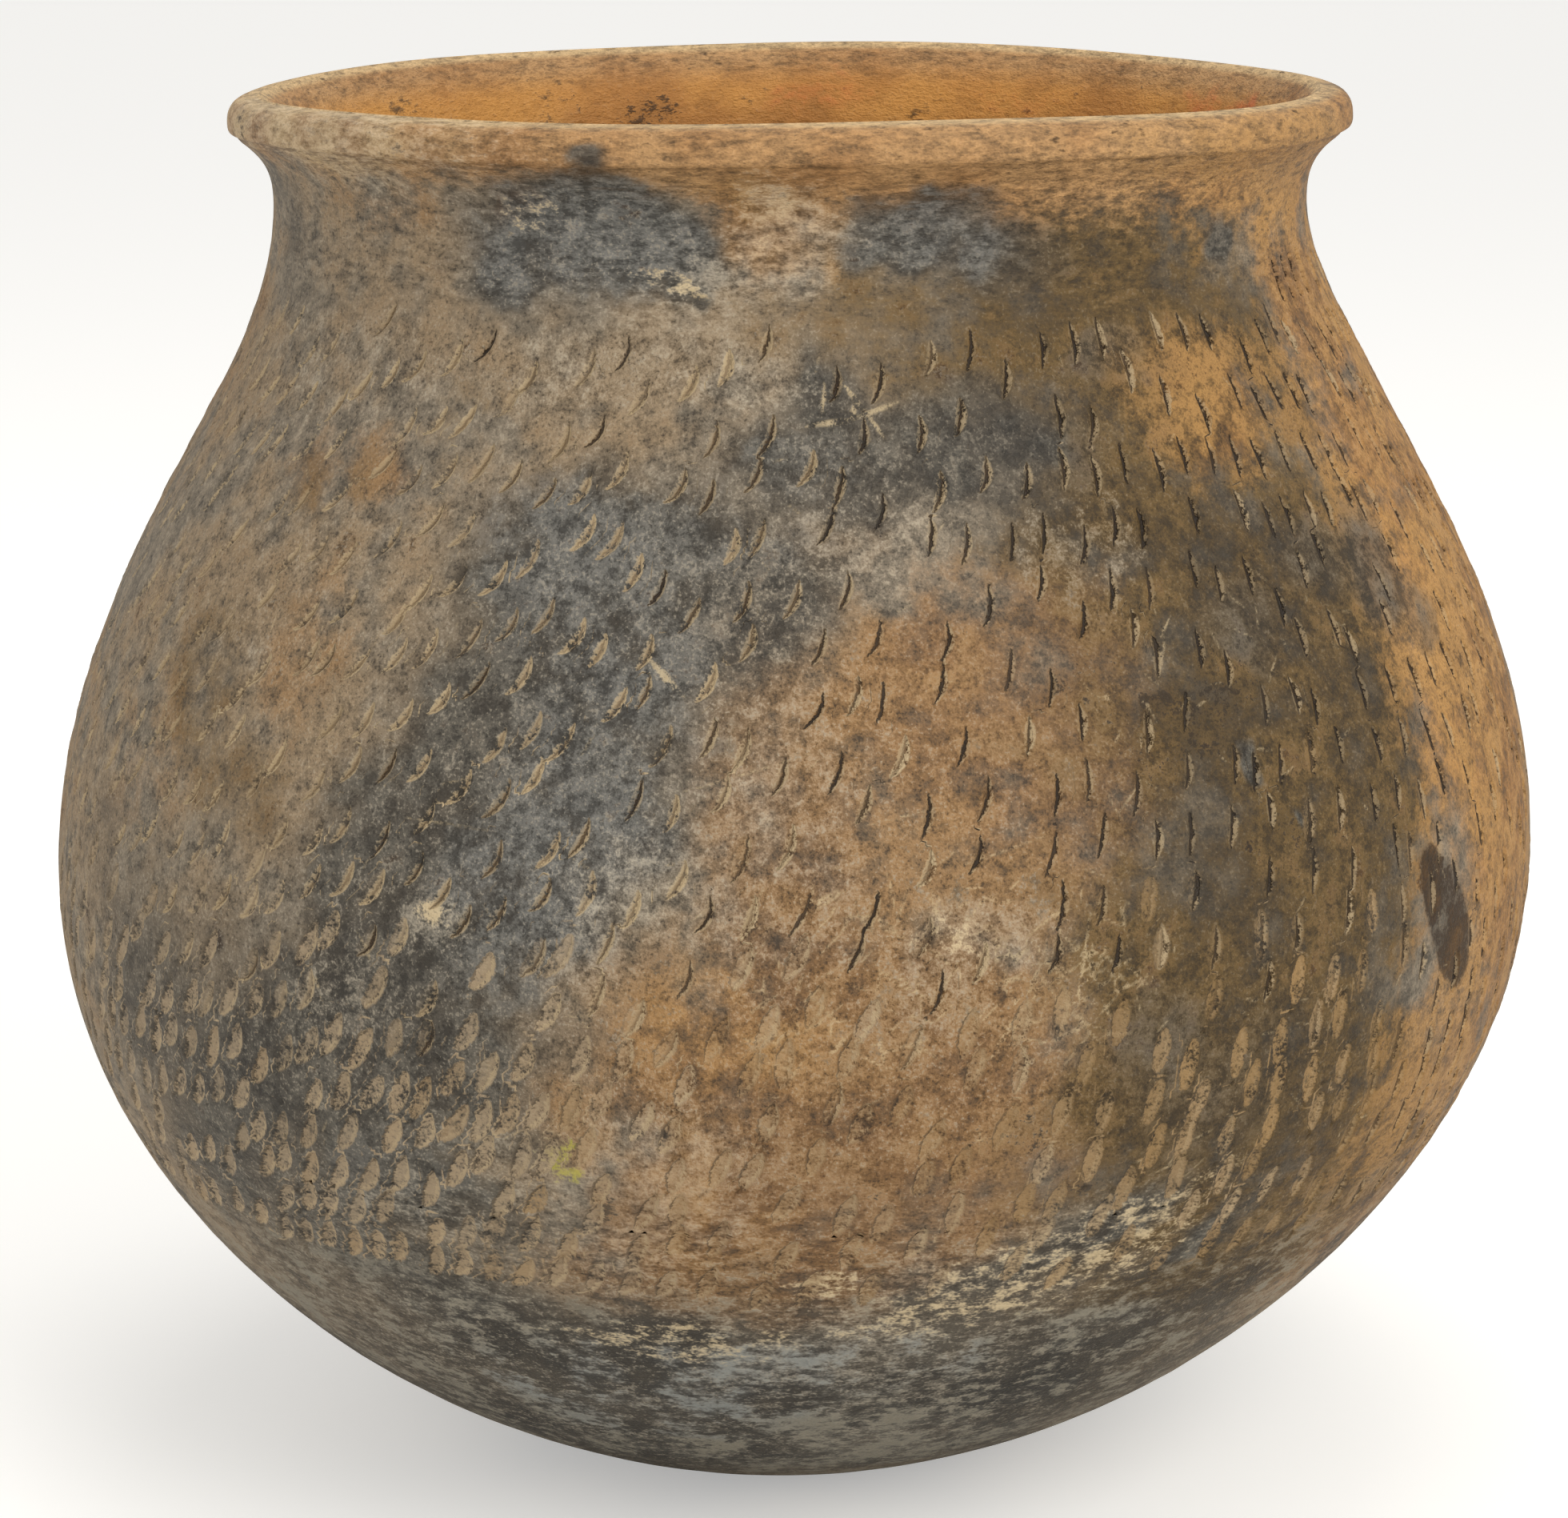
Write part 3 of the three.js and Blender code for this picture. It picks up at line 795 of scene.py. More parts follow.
@dataclass
class ClaySurface:
    """The outside and the inside of the whole jar: its relief, its stains, its marks and its scratches."""

    outline: Outline
    shape: HandShape
    marks: list[Mark]
    scratches: list[Scratch]
    lumps: Lattice = field(default_factory=lambda: Lattice(SEED))
    grain: Lattice = field(default_factory=lambda: Lattice(SEED + 1))
    lump_size: float = 46.0
    lump_height: float = 0.42
    fine_lump_size: float = 9.0
    fine_lump_height: float = 0.14
    wipe_size: float = 3.2
    wipe_stretch: float = 9.0
    wipe_height: float = 0.17
    crease_depth: float = 0.5
    crease_width: float = 0.8
    room_to_swell: float = 0.2
    belly_kept: float = 26.0
    inner_lump_height: float = 0.35
    inner_wipe_height: float = 0.12
    mark_reach: float = 6.5
    slit_bow_width: float = 0.42
    slit_inner_width: float = 0.8
    ridge_height: float = 0.2
    ridge_place: float = 0.95
    scoop_width: float = 1.75
    scoop_share: float = 0.85
    scratch_far: float = 2.0
    fray_size: float = 17.0
    fray_across: float = 9.0
    fray_up: float = 8.0
    fray_streak: float = 5.0
    cloud_size: float = 62.0

    def turned(self, along: Array, bearing: Array) -> Array:
        """Places on an even drum: the belly's radius at every bearing, and the length along the outline up.

        Args:
            along: The length along the outline of each row.
            bearing: The bearing of each column.

        Returns:
            The places, as rows by columns by x, y and z.
        """
        turn = np.radians(bearing)[None, :]
        radius = self.outline.sizes.belly_radius
        drum = np.broadcast_arrays(radius * np.sin(turn), -radius * np.cos(turn), along[:, None])
        return np.stack(drum, axis=-1)

    def _drawn_out(self, bearing: Array, along: Array, stretch: float) -> Array:
        """Places that make noise run round the jar, stretch times as long as it is high."""
        return self.turned(along, bearing) / [stretch, stretch, 1.0]

    def outside(self, along: Array, bearing: Array) -> tuple[Array, Fields]:
        """The finished outside on a grid.

        Args:
            along: The length along the outline of each row.
            bearing: The bearing of each column.

        Returns:
            The places and the fields. The relief moves a point along the outline's own normal.
        """
        section = self.outline.outside.at(along)
        plain = self.shape.place(section, bearing)
        fields = self._fields(along, bearing, plain, section)
        probe = 0.4
        ahead = self.outline.outside.at(along + probe) - self.outline.outside.at(along - probe)
        ahead = ahead / np.maximum(np.hypot(ahead[:, 0], ahead[:, 1]), 1e-9)[:, None]
        turn = np.radians(bearing)[None, :]
        away, up = ahead[:, 1][:, None], -ahead[:, 0][:, None]
        normal = np.stack(np.broadcast_arrays(away * np.sin(turn), -away * np.cos(turn), up), axis=-1)
        return plain + normal * fields.lift[..., None], fields

    def _fields(self, along: Array, bearing: Array, plain: Array, section: Array) -> Fields:
        """The relief and every mask of the outside on a grid.

        Lumps, wipes and the crease only sink. Away from the belly and the lip, which set the size of the
        jar, the whole wall comes out again by room_to_swell.

        Args:
            along: The length along the outline of each row.
            bearing: The bearing of each column.
            plain: The places on the grid.
            section: The (radius, height) of each row.

        Returns:
            The relief and the masks.
        """
        rows = along[:, None]
        height = section[:, 1][:, None]
        sizes = self.outline.sizes
        standing = smooth(rows, sizes.foot_radius - 4.0, sizes.foot_radius + 14.0)
        lumps = self.lumps.layers(plain, self.lump_size, 3)
        fine_lumps = self.grain.layers(plain, self.fine_lump_size, 2)
        drawn = self._drawn_out(bearing, along, self.wipe_stretch)
        wipes = self.grain.layers(drawn, self.wipe_size, 3, 0.6)
        wiped = np.maximum(smooth(height, 88.0, 74.0), smooth(height, 236.0, 248.0))
        lift = -self.lump_height * (0.5 + 0.5 * lumps)
        lift = lift - self.fine_lump_height * (0.5 + 0.5 * fine_lumps) * (1.0 - 0.5 * wiped)
        lift = lift - self.wipe_height * (0.5 + 0.5 * wipes) * (0.35 + 0.65 * wiped)
        crease_fade = 0.55 + 0.45 * self.lumps.at(self._drawn_out(bearing, along, 3.0), 9.0)
        crease = np.exp(-((((rows - self.outline.crease) / self.crease_width) + 1.0) ** 2))
        lift = lift - self.crease_depth * crease * crease_fade
        room = 1.0 - np.exp(-(((height - sizes.belly_height) / self.belly_kept) ** 2))
        lift = lift + self.room_to_swell * room * smooth(height, 268.0, 258.0)
        masks = self._stains(along, bearing, plain, section)
        on_left = smooth(bearing, 14.0, -30.0)[None, :] * smooth(bearing, -120.0, -80.0)[None, :]
        masks["zone"] = smooth(height - 9.0 * on_left, 252.0, 270.0 - 6.0 * on_left)
        # The crease mask also places painted shade in the material.
        masks["crease"] = np.broadcast_to(crease * crease_fade, lift.shape).copy()
        worn = smooth(self.outline.length - rows, 5.0, 1.5) * (0.75 + 0.25 * fine_lumps)
        masks["crest"] = np.broadcast_to(worn, lift.shape).copy()
        masks["wiped"] = np.broadcast_to(smooth(height, 236.0, 248.0), lift.shape).copy()
        dents = self._press_marks(along, bearing, masks)
        self._scratch(along, bearing, masks)
        return Fields((lift + dents) * standing, masks)

    @staticmethod
    def _weight(blotch: Blotch, across: Array, up: Array) -> Array:
        """How much a blotch covers: its strength in the middle, fading past its half sizes.

        Args:
            blotch: The blotch.
            across: How far right of its middle each point is.
            up: How far up from its middle each point is.

        Returns:
            A share for each point.
        """
        tilt = np.radians(blotch.tilt)
        u = (across * np.cos(tilt) + up * np.sin(tilt)) / blotch.half_width
        v = (up * np.cos(tilt) - across * np.sin(tilt)) / blotch.half_height
        return blotch.strength * smooth(np.sqrt(u * u + v * v), 1.6, 0.4)

    def _laid(
        self,
        table: dict[Stain, tuple[Blotch, ...]],
        bearing: Array,
        girth: Array,
        height: Array,
        push_across: Array,
        push_up: Array,
    ) -> dict[str, Array]:
        """The masks of a table of blotches. Where blotches overlap, what each leaves bare is multiplied.

        Args:
            table: The blotches of each kind of stain.
            bearing: The bearing of each column.
            girth: The radius of each row, for the length of a degree.
            height: The height of each row.
            push_across: How far each place is moved sideways before it is looked up.
            push_up: How far each place is moved up.

        Returns:
            One mask for each kind of stain, 0 where the table has none.
        """
        bare = {stain: np.ones(push_across.shape) for stain in Stain}
        for stain, blotches in table.items():
            for blotch in blotches:
                turn = (bearing[None, :] - blotch.bearing + 180.0) % FULL_TURN - 180.0
                across = np.radians(turn) * girth + push_across
                bare[stain] *= 1.0 - self._weight(blotch, across, height - blotch.height + push_up)
        return {stain.value: 1.0 - bare[stain] for stain in Stain}

    def _stains(self, along: Array, bearing: Array, plain: Array, section: Array) -> dict[str, Array]:
        """The strength of each kind of stain on a grid.

        Every place is first pushed about by noise, so that the blotches come out ragged. Behind the sides,
        which the photograph doesn't show, noise alone makes the clouds.

        Args:
            along: The length along the outline of each row.
            bearing: The bearing of each column.
            plain: The places on the grid.
            section: The (radius, height) of each row.

        Returns:
            One mask for each kind of stain.
        """
        radius, height = section[:, 0][:, None], section[:, 1][:, None]
        low = smooth(height, 92.0, 72.0)
        streak = self.lumps.layers(self._drawn_out(bearing, along, 6.0), 4.0, 3, 0.65)
        push = [self.grain.layers(plain + far, self.fray_size, 4, 0.65) for far in (0.0, 500.0)]
        push_across = self.fray_across * push[0]
        push_up = self.fray_up * push[1] * (1.0 - 0.5 * low) + self.fray_streak * streak * low
        girth = np.maximum(radius, 20.0)
        masks = self._laid(BLOTCHES, bearing, girth, height, push_across, push_up)
        turn = (bearing[None, :] - DARK_LOZENGE.bearing + 180.0) % FULL_TURN - 180.0
        sharp_across = np.radians(turn) * girth + 0.22 * push_across
        sharp = self._weight(DARK_LOZENGE, sharp_across, height - DARK_LOZENGE.height + 0.22 * push_up)
        masks["lozenge"] = smooth(sharp, 0.15, 0.55)
        behind = smooth(np.abs(bearing), 66.0, 100.0)[None, :]
        clouds = self.lumps.layers(plain + 300.0, self.cloud_size, 4, 0.55)
        masks["fire"] = np.maximum(masks["fire"], 0.9 * behind * smooth(clouds, 0.0, 0.34))
        masks["warm"] = np.maximum(masks["warm"], 0.85 * behind * smooth(-clouds, 0.02, 0.3))
        masks["olive"] = np.maximum(masks["olive"], 0.5 * behind * smooth(-np.abs(clouds), -0.16, 0.0))
        masks["fire"] = np.maximum(masks["fire"], 0.75 * low * behind * smooth(streak, -0.4, 0.3))
        masks["tan"] = np.maximum(masks["tan"], 0.8 * behind * smooth(-clouds, 0.2, 0.42))
        masks["inner"] = np.zeros(plain.shape[:2])
        masks["low"] = smooth(height + push_up, 80.0, 58.0)
        masks["strokes"] = np.broadcast_to(smooth(height, 112.0, 76.0), push_up.shape).copy()
        return masks

    def _press_marks(self, along: Array, bearing: Array, masks: dict[str, Array]) -> Array:
        """The dents of the nail marks on a grid, and the place of each point within its mark.

        With u the share of the half length from the middle, v the distance across the bowed line and
        t = 1 - u^2, a slit sinks depth times sqrt(t) exp(-(v / width)^2), and a ridge is pushed up beside
        its bow. A scoop is a leaf of half width w t, and sinks depth times sqrt(1 - (v / (w t))^2).

        Args:
            along: The length along the outline of each row.
            bearing: The bearing of each column.
            masks: Gets the masks of the marks.

        Returns:
            How far each point moves outwards.
        """
        shape = (len(along), len(bearing))
        dents = np.zeros(shape)
        best = np.full(shape, 9.0)
        for name, empty in zip(MARK_ATTRIBUTES, (3.0, 9.0, 0.0, 0.0, 0.0, 0.0)):
            masks[name] = np.full(shape, empty)
        reach = self.mark_reach
        for mark in self.marks:
            if not along[0] - reach < mark.along < along[-1] + reach:
                continue
            window, x, y = self._window(along, bearing, mark.bearing, mark.along, reach)
            lean = np.radians(mark.lean)
            u = (x * np.sin(lean) + y * np.cos(lean)) / mark.half_length
            taper = np.clip(1.0 - u * u, 0.0, 1.0)
            v = x * np.cos(lean) - y * np.sin(lean) - mark.bow * (1.0 - np.clip(u, -1.5, 1.5) ** 2)
            nearness = np.maximum(np.abs(u) - 0.9, np.abs(v) / 2.6 - 0.6)
            nearer = nearness < best[window]
            best[window] = np.where(nearer, nearness, best[window])
            on = np.where((np.abs(u) < 1.22) & (np.abs(v + 0.4) < 2.7), min(1.0, mark.depth + 0.3), 0.0)
            for name, value in zip(MARK_ATTRIBUTES, (u, v, on, mark.scoop, mark.open, mark.bright)):
                masks[name][window] = np.where(nearer, value, masks[name][window])
            width = np.where(v > 0, self.slit_bow_width, self.slit_inner_width)
            slit = np.sqrt(taper) * np.exp(-((v / width) ** 2))
            beyond = (v - self.ridge_place) / self.slit_bow_width
            ridge = self.ridge_height * np.sqrt(taper) * np.exp(-(beyond**2))
            leaf = np.clip(1.0 - ((v + 0.7 * taper) / (self.scoop_width * taper + 0.05)) ** 2, 0.0, 1.0)
            scooped = self.scoop_share * np.sqrt(leaf)
            dents[window] += mark.depth * ((ridge - slit) * (1.0 - mark.scoop) - scooped * mark.scoop)
        return dents

    def _radius(self, along: float) -> float:
        """The radius of the outside a length along the outline."""
        return float(self.outline.outside.at(np.array([along]))[0, 0])

    def _window(
        self, along: Array, bearing: Array, middle_bearing: float, middle_along: float, reach: float
    ) -> tuple[tuple[Array, ...], Array, Array]:
        """The part of a grid within reach of a place.

        Args:
            along: The length along the outline of each row.
            bearing: The bearing of each column.
            middle_bearing: The bearing of the place.
            middle_along: Its length along the outline.
            reach: How far to go each way.

        Returns:
            The index of that part, and how far right of the place and up from it each point is.
        """
        rows = np.searchsorted(along, [middle_along - reach, middle_along + reach])
        radius = self._radius(middle_along)
        column = bearing[1] - bearing[0]
        middle = (middle_bearing - bearing[0]) / column
        half = int(np.ceil(np.degrees(reach / radius) / column))
        columns = np.arange(int(middle) - half, int(middle) + half + 2) % len(bearing)
        turn = (bearing[columns] - middle_bearing + 180.0) % FULL_TURN - 180.0
        x = np.radians(turn)[None, :] * radius
        y = (along[rows[0] : rows[1]] - middle_along)[:, None]
        return np.ix_(np.arange(rows[0], rows[1]), columns), x, y

    def _scratch(self, along: Array, bearing: Array, masks: dict[str, Array]) -> None:
        """How far each point lies from the edge of the nearest scratch, less its half width.

        Args:
            along: The length along the outline of each row.
            bearing: The bearing of each column.
            masks: Gets the mask scratch, which is scratch_far where there is none near.
        """
        distance = np.full((len(along), len(bearing)), self.scratch_far)
        for scratch in self.scratches:
            ends = [(turn, self.outline.along_at(height)) for turn, height in (scratch.start, scratch.end)]
            middle = ((ends[0][0] + ends[1][0]) / 2, (ends[0][1] + ends[1][1]) / 2)
            radius = self._radius(middle[1])
            half = np.array([np.radians(ends[1][0] - middle[0]) * radius, ends[1][1] - middle[1]])
            length = float(np.hypot(*half))
            reach = length + 2.5
            if not along[0] - reach < middle[1] < along[-1] + reach:
                continue
            window, x, y = self._window(along, bearing, middle[0], middle[1], reach)
            share = np.clip((x * half[0] + y * half[1]) / length**2, -1.0, 1.0)
            away = np.hypot(x - share * half[0], y - share * half[1]) - scratch.width * (1.1 - np.abs(share))
            distance[window] = np.minimum(distance[window], away)
        masks["scratch"] = distance

    def inside(self, along: Array, bearing: Array) -> tuple[Array, dict[str, Array]]:
        """The finished inside on a grid, wiped smooth by the potter's fingers.

        Args:
            along: The length along the outline that each row lies across the wall from.
            bearing: The bearing of each column.

        Returns:
            The places and the masks of the inside.
        """
        section = self.outline.inside(along)
        plain = self.shape.place(section, bearing)
        height = section[:, 1][:, None]
        lumps = self.lumps.layers(plain, 34.0, 3)
        wipes = self.grain.layers(self._drawn_out(bearing, along, self.wipe_stretch), 4.0, 3, 0.6)
        fade = smooth(self.outline.length - along, 0.5, 6.0)[:, None] * smooth(along, 2.0, 20.0)[:, None]
        sunk = fade * (self.inner_lump_height * lumps + self.inner_wipe_height * wipes)
        turn = np.radians(bearing)[None, :]
        level = smooth(height, 9.0, 40.0)
        normal = (-level * np.sin(turn), level * np.cos(turn), 1.0 - level)
        normal = np.stack(np.broadcast_arrays(*normal), axis=-1)
        clouds = self.lumps.layers(plain + 90.0, 40.0, 4, 0.6)
        blank = np.zeros(plain.shape[:2])
        masks = {name: blank.copy() for name in ATTRIBUTES}
        masks |= {"mark_u": blank + 3.0, "mark_v": blank + 9.0, "scratch": blank + self.scratch_far}
        push = [5.0 * self.grain.layers(plain + far, 9.0, 3, 0.65) for far in (0.0, 500.0)]
        masks |= self._laid(INSIDE, bearing, np.maximum(section[:, :1], 20.0), height, *push)
        masks |= {"zone": blank + 1.0, "inner": blank + smooth(height, 275.0, 268.0), "wiped": blank + 1.0}
        masks["crest"] = blank + smooth(self.outline.length - along, 5.0, 1.5)[:, None]
        masks["warm"] = smooth(clouds, -0.1, 0.4)
        deep_down = 0.7 * smooth(height, 215.0, 120.0) * smooth(-clouds, 0.0, 0.4)
        masks["fire"] = np.maximum(masks["fire"], deep_down)
        return plain + normal * sunk[..., None], masks


@dataclass
class Sheet:
    """A grid of places, with its normals and masks: one side of a piece of clay."""

    places: Array
    normals: Array
    turned: Array
    masks: dict[str, Array]


def grid_normals(places: Array) -> Array:
    """The direction square to a grid: the step to the next column times the step to the next row.

    Args:
        places: The grid, as rows by columns by x, y and z.

    Returns:
        A direction of length 1 for each point.
    """
    across = np.roll(places, -1, axis=1) - np.roll(places, 1, axis=1)
    onwards = np.gradient(places, axis=0)
    normals = np.cross(across, onwards)
    return normals / np.maximum(np.linalg.norm(normals, axis=-1, keepdims=True), 1e-12)


@dataclass
class ClayPiece:
    """One piece of clay between two joints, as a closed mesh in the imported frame.

    Below and above are its joints, or None at the foot and at the crest. Each gap is the most that rows of
    the mesh lie apart: outer_gap on the outside, fine_gap in its top fine_top, and inner_gap within.
    """

    node: str
    slot: str
    surface: ClaySurface
    below: float | None
    above: float | None
    columns: int
    outer_gap: float
    inner_gap: float
    lap: tuple[float, float]
    fine_top: float = 0.0
    fine_gap: float = 0.8
    beyond: float = 0.6

    MAP_LOW = 0.02

    @property
    def _lowest(self) -> float:
        """The length along the outline at which the outside of the piece begins."""
        return 0.0 if self.below is None else self.below

    @property
    def _highest(self) -> float:
        """The length along the outline at which the outside of the piece ends."""
        return self.surface.outline.length if self.above is None else self.above

    @cached_property
    def _bearings(self) -> Array:
        """The bearing of each column, from the back round to the back."""
        return -180.0 + np.arange(self.columns) * FULL_TURN / self.columns

    @staticmethod
    def _rows(low: float, high: float, gap: float) -> Array:
        """Evenly spaced rows from low to high, gap apart or a little less."""
        return np.linspace(low, high, max(2, int(np.ceil((high - low) / gap)) + 1))

    def _outside(self) -> Sheet:
        """The outside of the piece. Its first and last rows take their normals from beyond the joint.

        Returns:
            The outside, from its lower joint up.
        """
        rows = self._rows(self._lowest, self._highest - self.fine_top, self.outer_gap)
        if self.fine_top:
            fine = self._rows(self._highest - self.fine_top, self._highest, self.fine_gap)
            rows = np.concatenate([rows, fine[1:]])
        before = [] if self.below is None else [rows[0] - self.beyond]
        after = [] if self.above is None else [rows[-1] + self.beyond]
        if self.below is None:
            rows = rows[1:]
        wide = np.concatenate([before, rows, after])
        places, fields = self.surface.outside(wide, self._bearings)
        keep = slice(len(before), len(before) + len(rows))
        masks = {name: mask[keep] for name, mask in fields.masks.items()}
        turned = self.surface.turned(wide, self._bearings)
        return Sheet(places[keep], grid_normals(places)[keep], turned[keep], masks)

    def _inside(self) -> Sheet:
        """The inside of the piece, with normals as on the outside.

        Returns:
            The inside, from its upper joint down.
        """
        high = self._highest - (0.0 if self.above is None else self.lap[1])
        low = 0.0 if self.below is None else self._lowest - self.lap[0]
        rows = self._rows(low, high, self.inner_gap)[::-1]
        before = [] if self.above is None else [rows[0] + self.beyond]
        after = [] if self.below is None else [rows[-1] - self.beyond]
        if self.below is None:
            rows = rows[:-1]
        wide = np.concatenate([before, rows, after])
        places, masks = self.surface.inside(wide, self._bearings)
        keep = slice(len(before), len(before) + len(rows))
        masks = {name: mask[keep] for name, mask in masks.items()}
        turned = self.surface.turned(wide, self._bearings)
        return Sheet(places[keep], grid_normals(places)[keep], turned[keep], masks)

    def build(self) -> bpy.types.Object:
        """Makes the piece, names it after the CAD node that it stands for and hides that node.

        Returns:
            The new object, with its material still to be given.
        """
        outer, inner = self._outside(), self._inside()
        if self.above is None:
            outer, inner = self._join_crest(outer, inner)
        places = np.concatenate([outer.places, inner.places])
        normals = np.concatenate([outer.normals, inner.normals])
        masks = {name: np.concatenate([outer.masks[name], inner.masks[name]]) for name in ATTRIBUTES}
        turned = np.concatenate([outer.turned, inner.turned])
        piece = self._mesh(places, normals, turned, masks, len(outer.places))
        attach(piece, "root")
        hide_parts(self.node)
        log.info("%s: %d triangles", piece.name, 2 * len(piece.data.polygons))
        return piece

    @staticmethod
    def _join_crest(outer: Sheet, inner: Sheet) -> tuple[Sheet, Sheet]:
        """Lets the inside start one row past the crest, with normals that run on over it.

        Args:
            outer: The outside, which ends at the crest.
            inner: The inside, which starts there.

        Returns:
            Both, without the row that they shared.
        """
        masks = {name: mask[1:] for name, mask in inner.masks.items()}
        inner = Sheet(inner.places[1:], inner.normals[1:], inner.turned[1:], masks)
        places = np.concatenate([outer.places, inner.places])
        crest = len(outer.places)
        around = grid_normals(places[crest - 3 : crest + 3])
        outer.normals[-1] = around[2]
        inner.normals[0] = around[3]
        return outer, inner

    def _mesh(
        self, places: Array, normals: Array, turned: Array, masks: dict[str, Array], split: int
    ) -> bpy.types.Object:
        """The closed mesh of a loop of rows round the jar, with poles where the piece reaches the axis.

        Args:
            places: The rows, up the outside and down the inside.
            normals: The direction square to the clay at each place.
            turned: Where each place is on an even drum.
            masks: The masks at each place.
            split: How many of the rows are outside.

        Returns:
            The object.
        """
        points = places.reshape(-1, 3)
        quads, joint = self._faces(places, split)
        faces = quads.reshape(-1, 4)
        poles = np.empty((0, 3), dtype=np.int64)
        if self.below is None:
            tips, poles = self._poles(places)
            points = np.concatenate([points, tips])
        corners = np.concatenate([faces.reshape(-1), poles.reshape(-1)])
        sides = np.concatenate([np.full(len(faces), 4), np.full(len(poles), 3)])
        starts = np.cumsum(sides) - sides
        mesh = bpy.data.meshes.new(f"{self.node}_surface")
        mesh.vertices.add(len(points))
        mesh.vertices.foreach_set("co", (points * MM).astype(np.float32).reshape(-1))
        mesh.loops.add(len(corners))
        mesh.loops.foreach_set("vertex_index", corners.astype(np.int32))
        mesh.polygons.add(len(sides))
        mesh.polygons.foreach_set("loop_start", starts.astype(np.int32))
        mesh.polygons.foreach_set("use_smooth", np.ones(len(sides), dtype=bool))
        self._hold_masks(mesh, turned, masks)
        self._unwrap(mesh, places, quads, len(poles))
        mesh.update(calc_edges=True)
        mesh.validate(clean_customdata=False)
        self._shade(mesh, points, normals, faces, joint, poles)
        piece = bpy.data.objects.new(f"{self.node}_surface", mesh)
        bpy.context.scene.collection.objects.link(piece)
        return piece

    def _faces(self, places: Array, split: int) -> tuple[Array, Array]:
        """The faces of four from each row to the next, and from the last to the first in a ring.

        Args:
            places: The rows of places.
            split: How many of them are outside.

        Returns:
            Their corners, as rows by columns, and which of them lie in a joint.
        """
        rows, columns = places.shape[:2]
        index = np.arange(rows * columns).reshape(rows, columns)
        lower, upper = (index[:-1], index[1:]) if self.below is None else (index, np.roll(index, -1, axis=0))
        quads = np.stack([lower, np.roll(lower, -1, axis=1), np.roll(upper, -1, axis=1), upper], axis=-1)
        joint = np.zeros(quads.shape[:2], dtype=bool)
        if self.above is not None:
            joint[split - 1] = True
        if self.below is not None:
            joint[-1] = True
        return quads, joint.reshape(-1)

    def _poles(self, places: Array) -> tuple[Array, Array]:
        """The middle of the foot and of the bottom inside, and the faces of three round each.

        Args:
            places: The rows of places.

        Returns:
            The two points, which come after the rows, and the corners of the faces.
        """
        rows, columns = places.shape[:2]
        count = rows * columns
        first, last = np.arange(columns), np.arange(count - columns, count)
        sections = (np.zeros((1, 2)), self.surface.outline.inside(np.zeros(1)))
        tips = np.array([self.surface.shape.place(section, np.zeros(1))[0, 0] for section in sections])
        under = np.stack([np.full(columns, count), np.roll(first, -1), first], axis=-1)
        over = np.stack([np.full(columns, count + 1), last, np.roll(last, -1)], axis=-1)
        return tips, np.concatenate([under, over])

    @staticmethod
    def _hold_masks(mesh: bpy.types.Mesh, turned: Array, masks: dict[str, Array]) -> None:
        """Gives a mesh its masks and its places on an even drum, all 0 at the poles.

        Args:
            mesh: The mesh.
            turned: The places on the drum.
            masks: The masks.
        """
        count = len(mesh.vertices)
        for name, mask in masks.items():
            values = np.zeros(count, dtype=np.float32)
            values[: mask.size] = mask.reshape(-1)
            mesh.attributes.new(name, "FLOAT", "POINT").data.foreach_set("value", values)
        drum = np.zeros(3 * count, dtype=np.float32)
        drum[: turned.size] = turned.reshape(-1) * MM
        mesh.attributes.new(TURNED, "FLOAT_VECTOR", "POINT").data.foreach_set("vector", drum)

    def _unwrap(self, mesh: bpy.types.Mesh, places: Array, quads: Array, poles: int) -> None:
        """A map for baking: the piece rolled out flat, bearing across and the section's length up.

        Args:
            mesh: The mesh that gets the map.
            places: Its rows of places.
            quads: The four corners of each face, as rows by columns.
            poles: How many triangles follow the faces.
        """
        rows, columns = places.shape[:2]
        steps = np.linalg.norm(np.diff(places[:, 0], axis=0), axis=-1)
        closing = np.linalg.norm(places[0, 0] - places[-1, 0])
        up = np.concatenate([[0.0], np.cumsum(steps), [steps.sum() + closing]])
        up = self.MAP_LOW + (1.0 - 2.0 * self.MAP_LOW) * up / up[-1]
        row = np.arange(quads.shape[0])[:, None] * np.ones((1, columns), dtype=np.int64)
        column = np.arange(columns)[None, :] * np.ones((quads.shape[0], 1), dtype=np.int64)
        corners = []
        for right, above in ((0, 0), (1, 0), (1, 1), (0, 1)):
            corners.append(np.stack([(column + right) / columns, up[row + above]], axis=-1))
        flat = np.stack(corners, axis=2).reshape(-1, 2)
        if poles:
            half = poles // 2
            place = np.arange(half) / half
            for level, order in ((0.0, (1, 0)), (1.0, (0, 1))):
                tip = np.stack([place + 0.5 / half, np.full(half, level)], axis=-1)
                edge = self.MAP_LOW if level == 0.0 else float(up[rows - 1])
                ends = [np.stack([place + k / half, np.full(half, edge)], axis=-1) for k in order]
                flat = np.concatenate([flat, np.stack([tip, *ends], axis=1).reshape(-1, 2)])
        mesh.uv_layers.new(name="OFBake").data.foreach_set("uv", flat.astype(np.float32).reshape(-1))

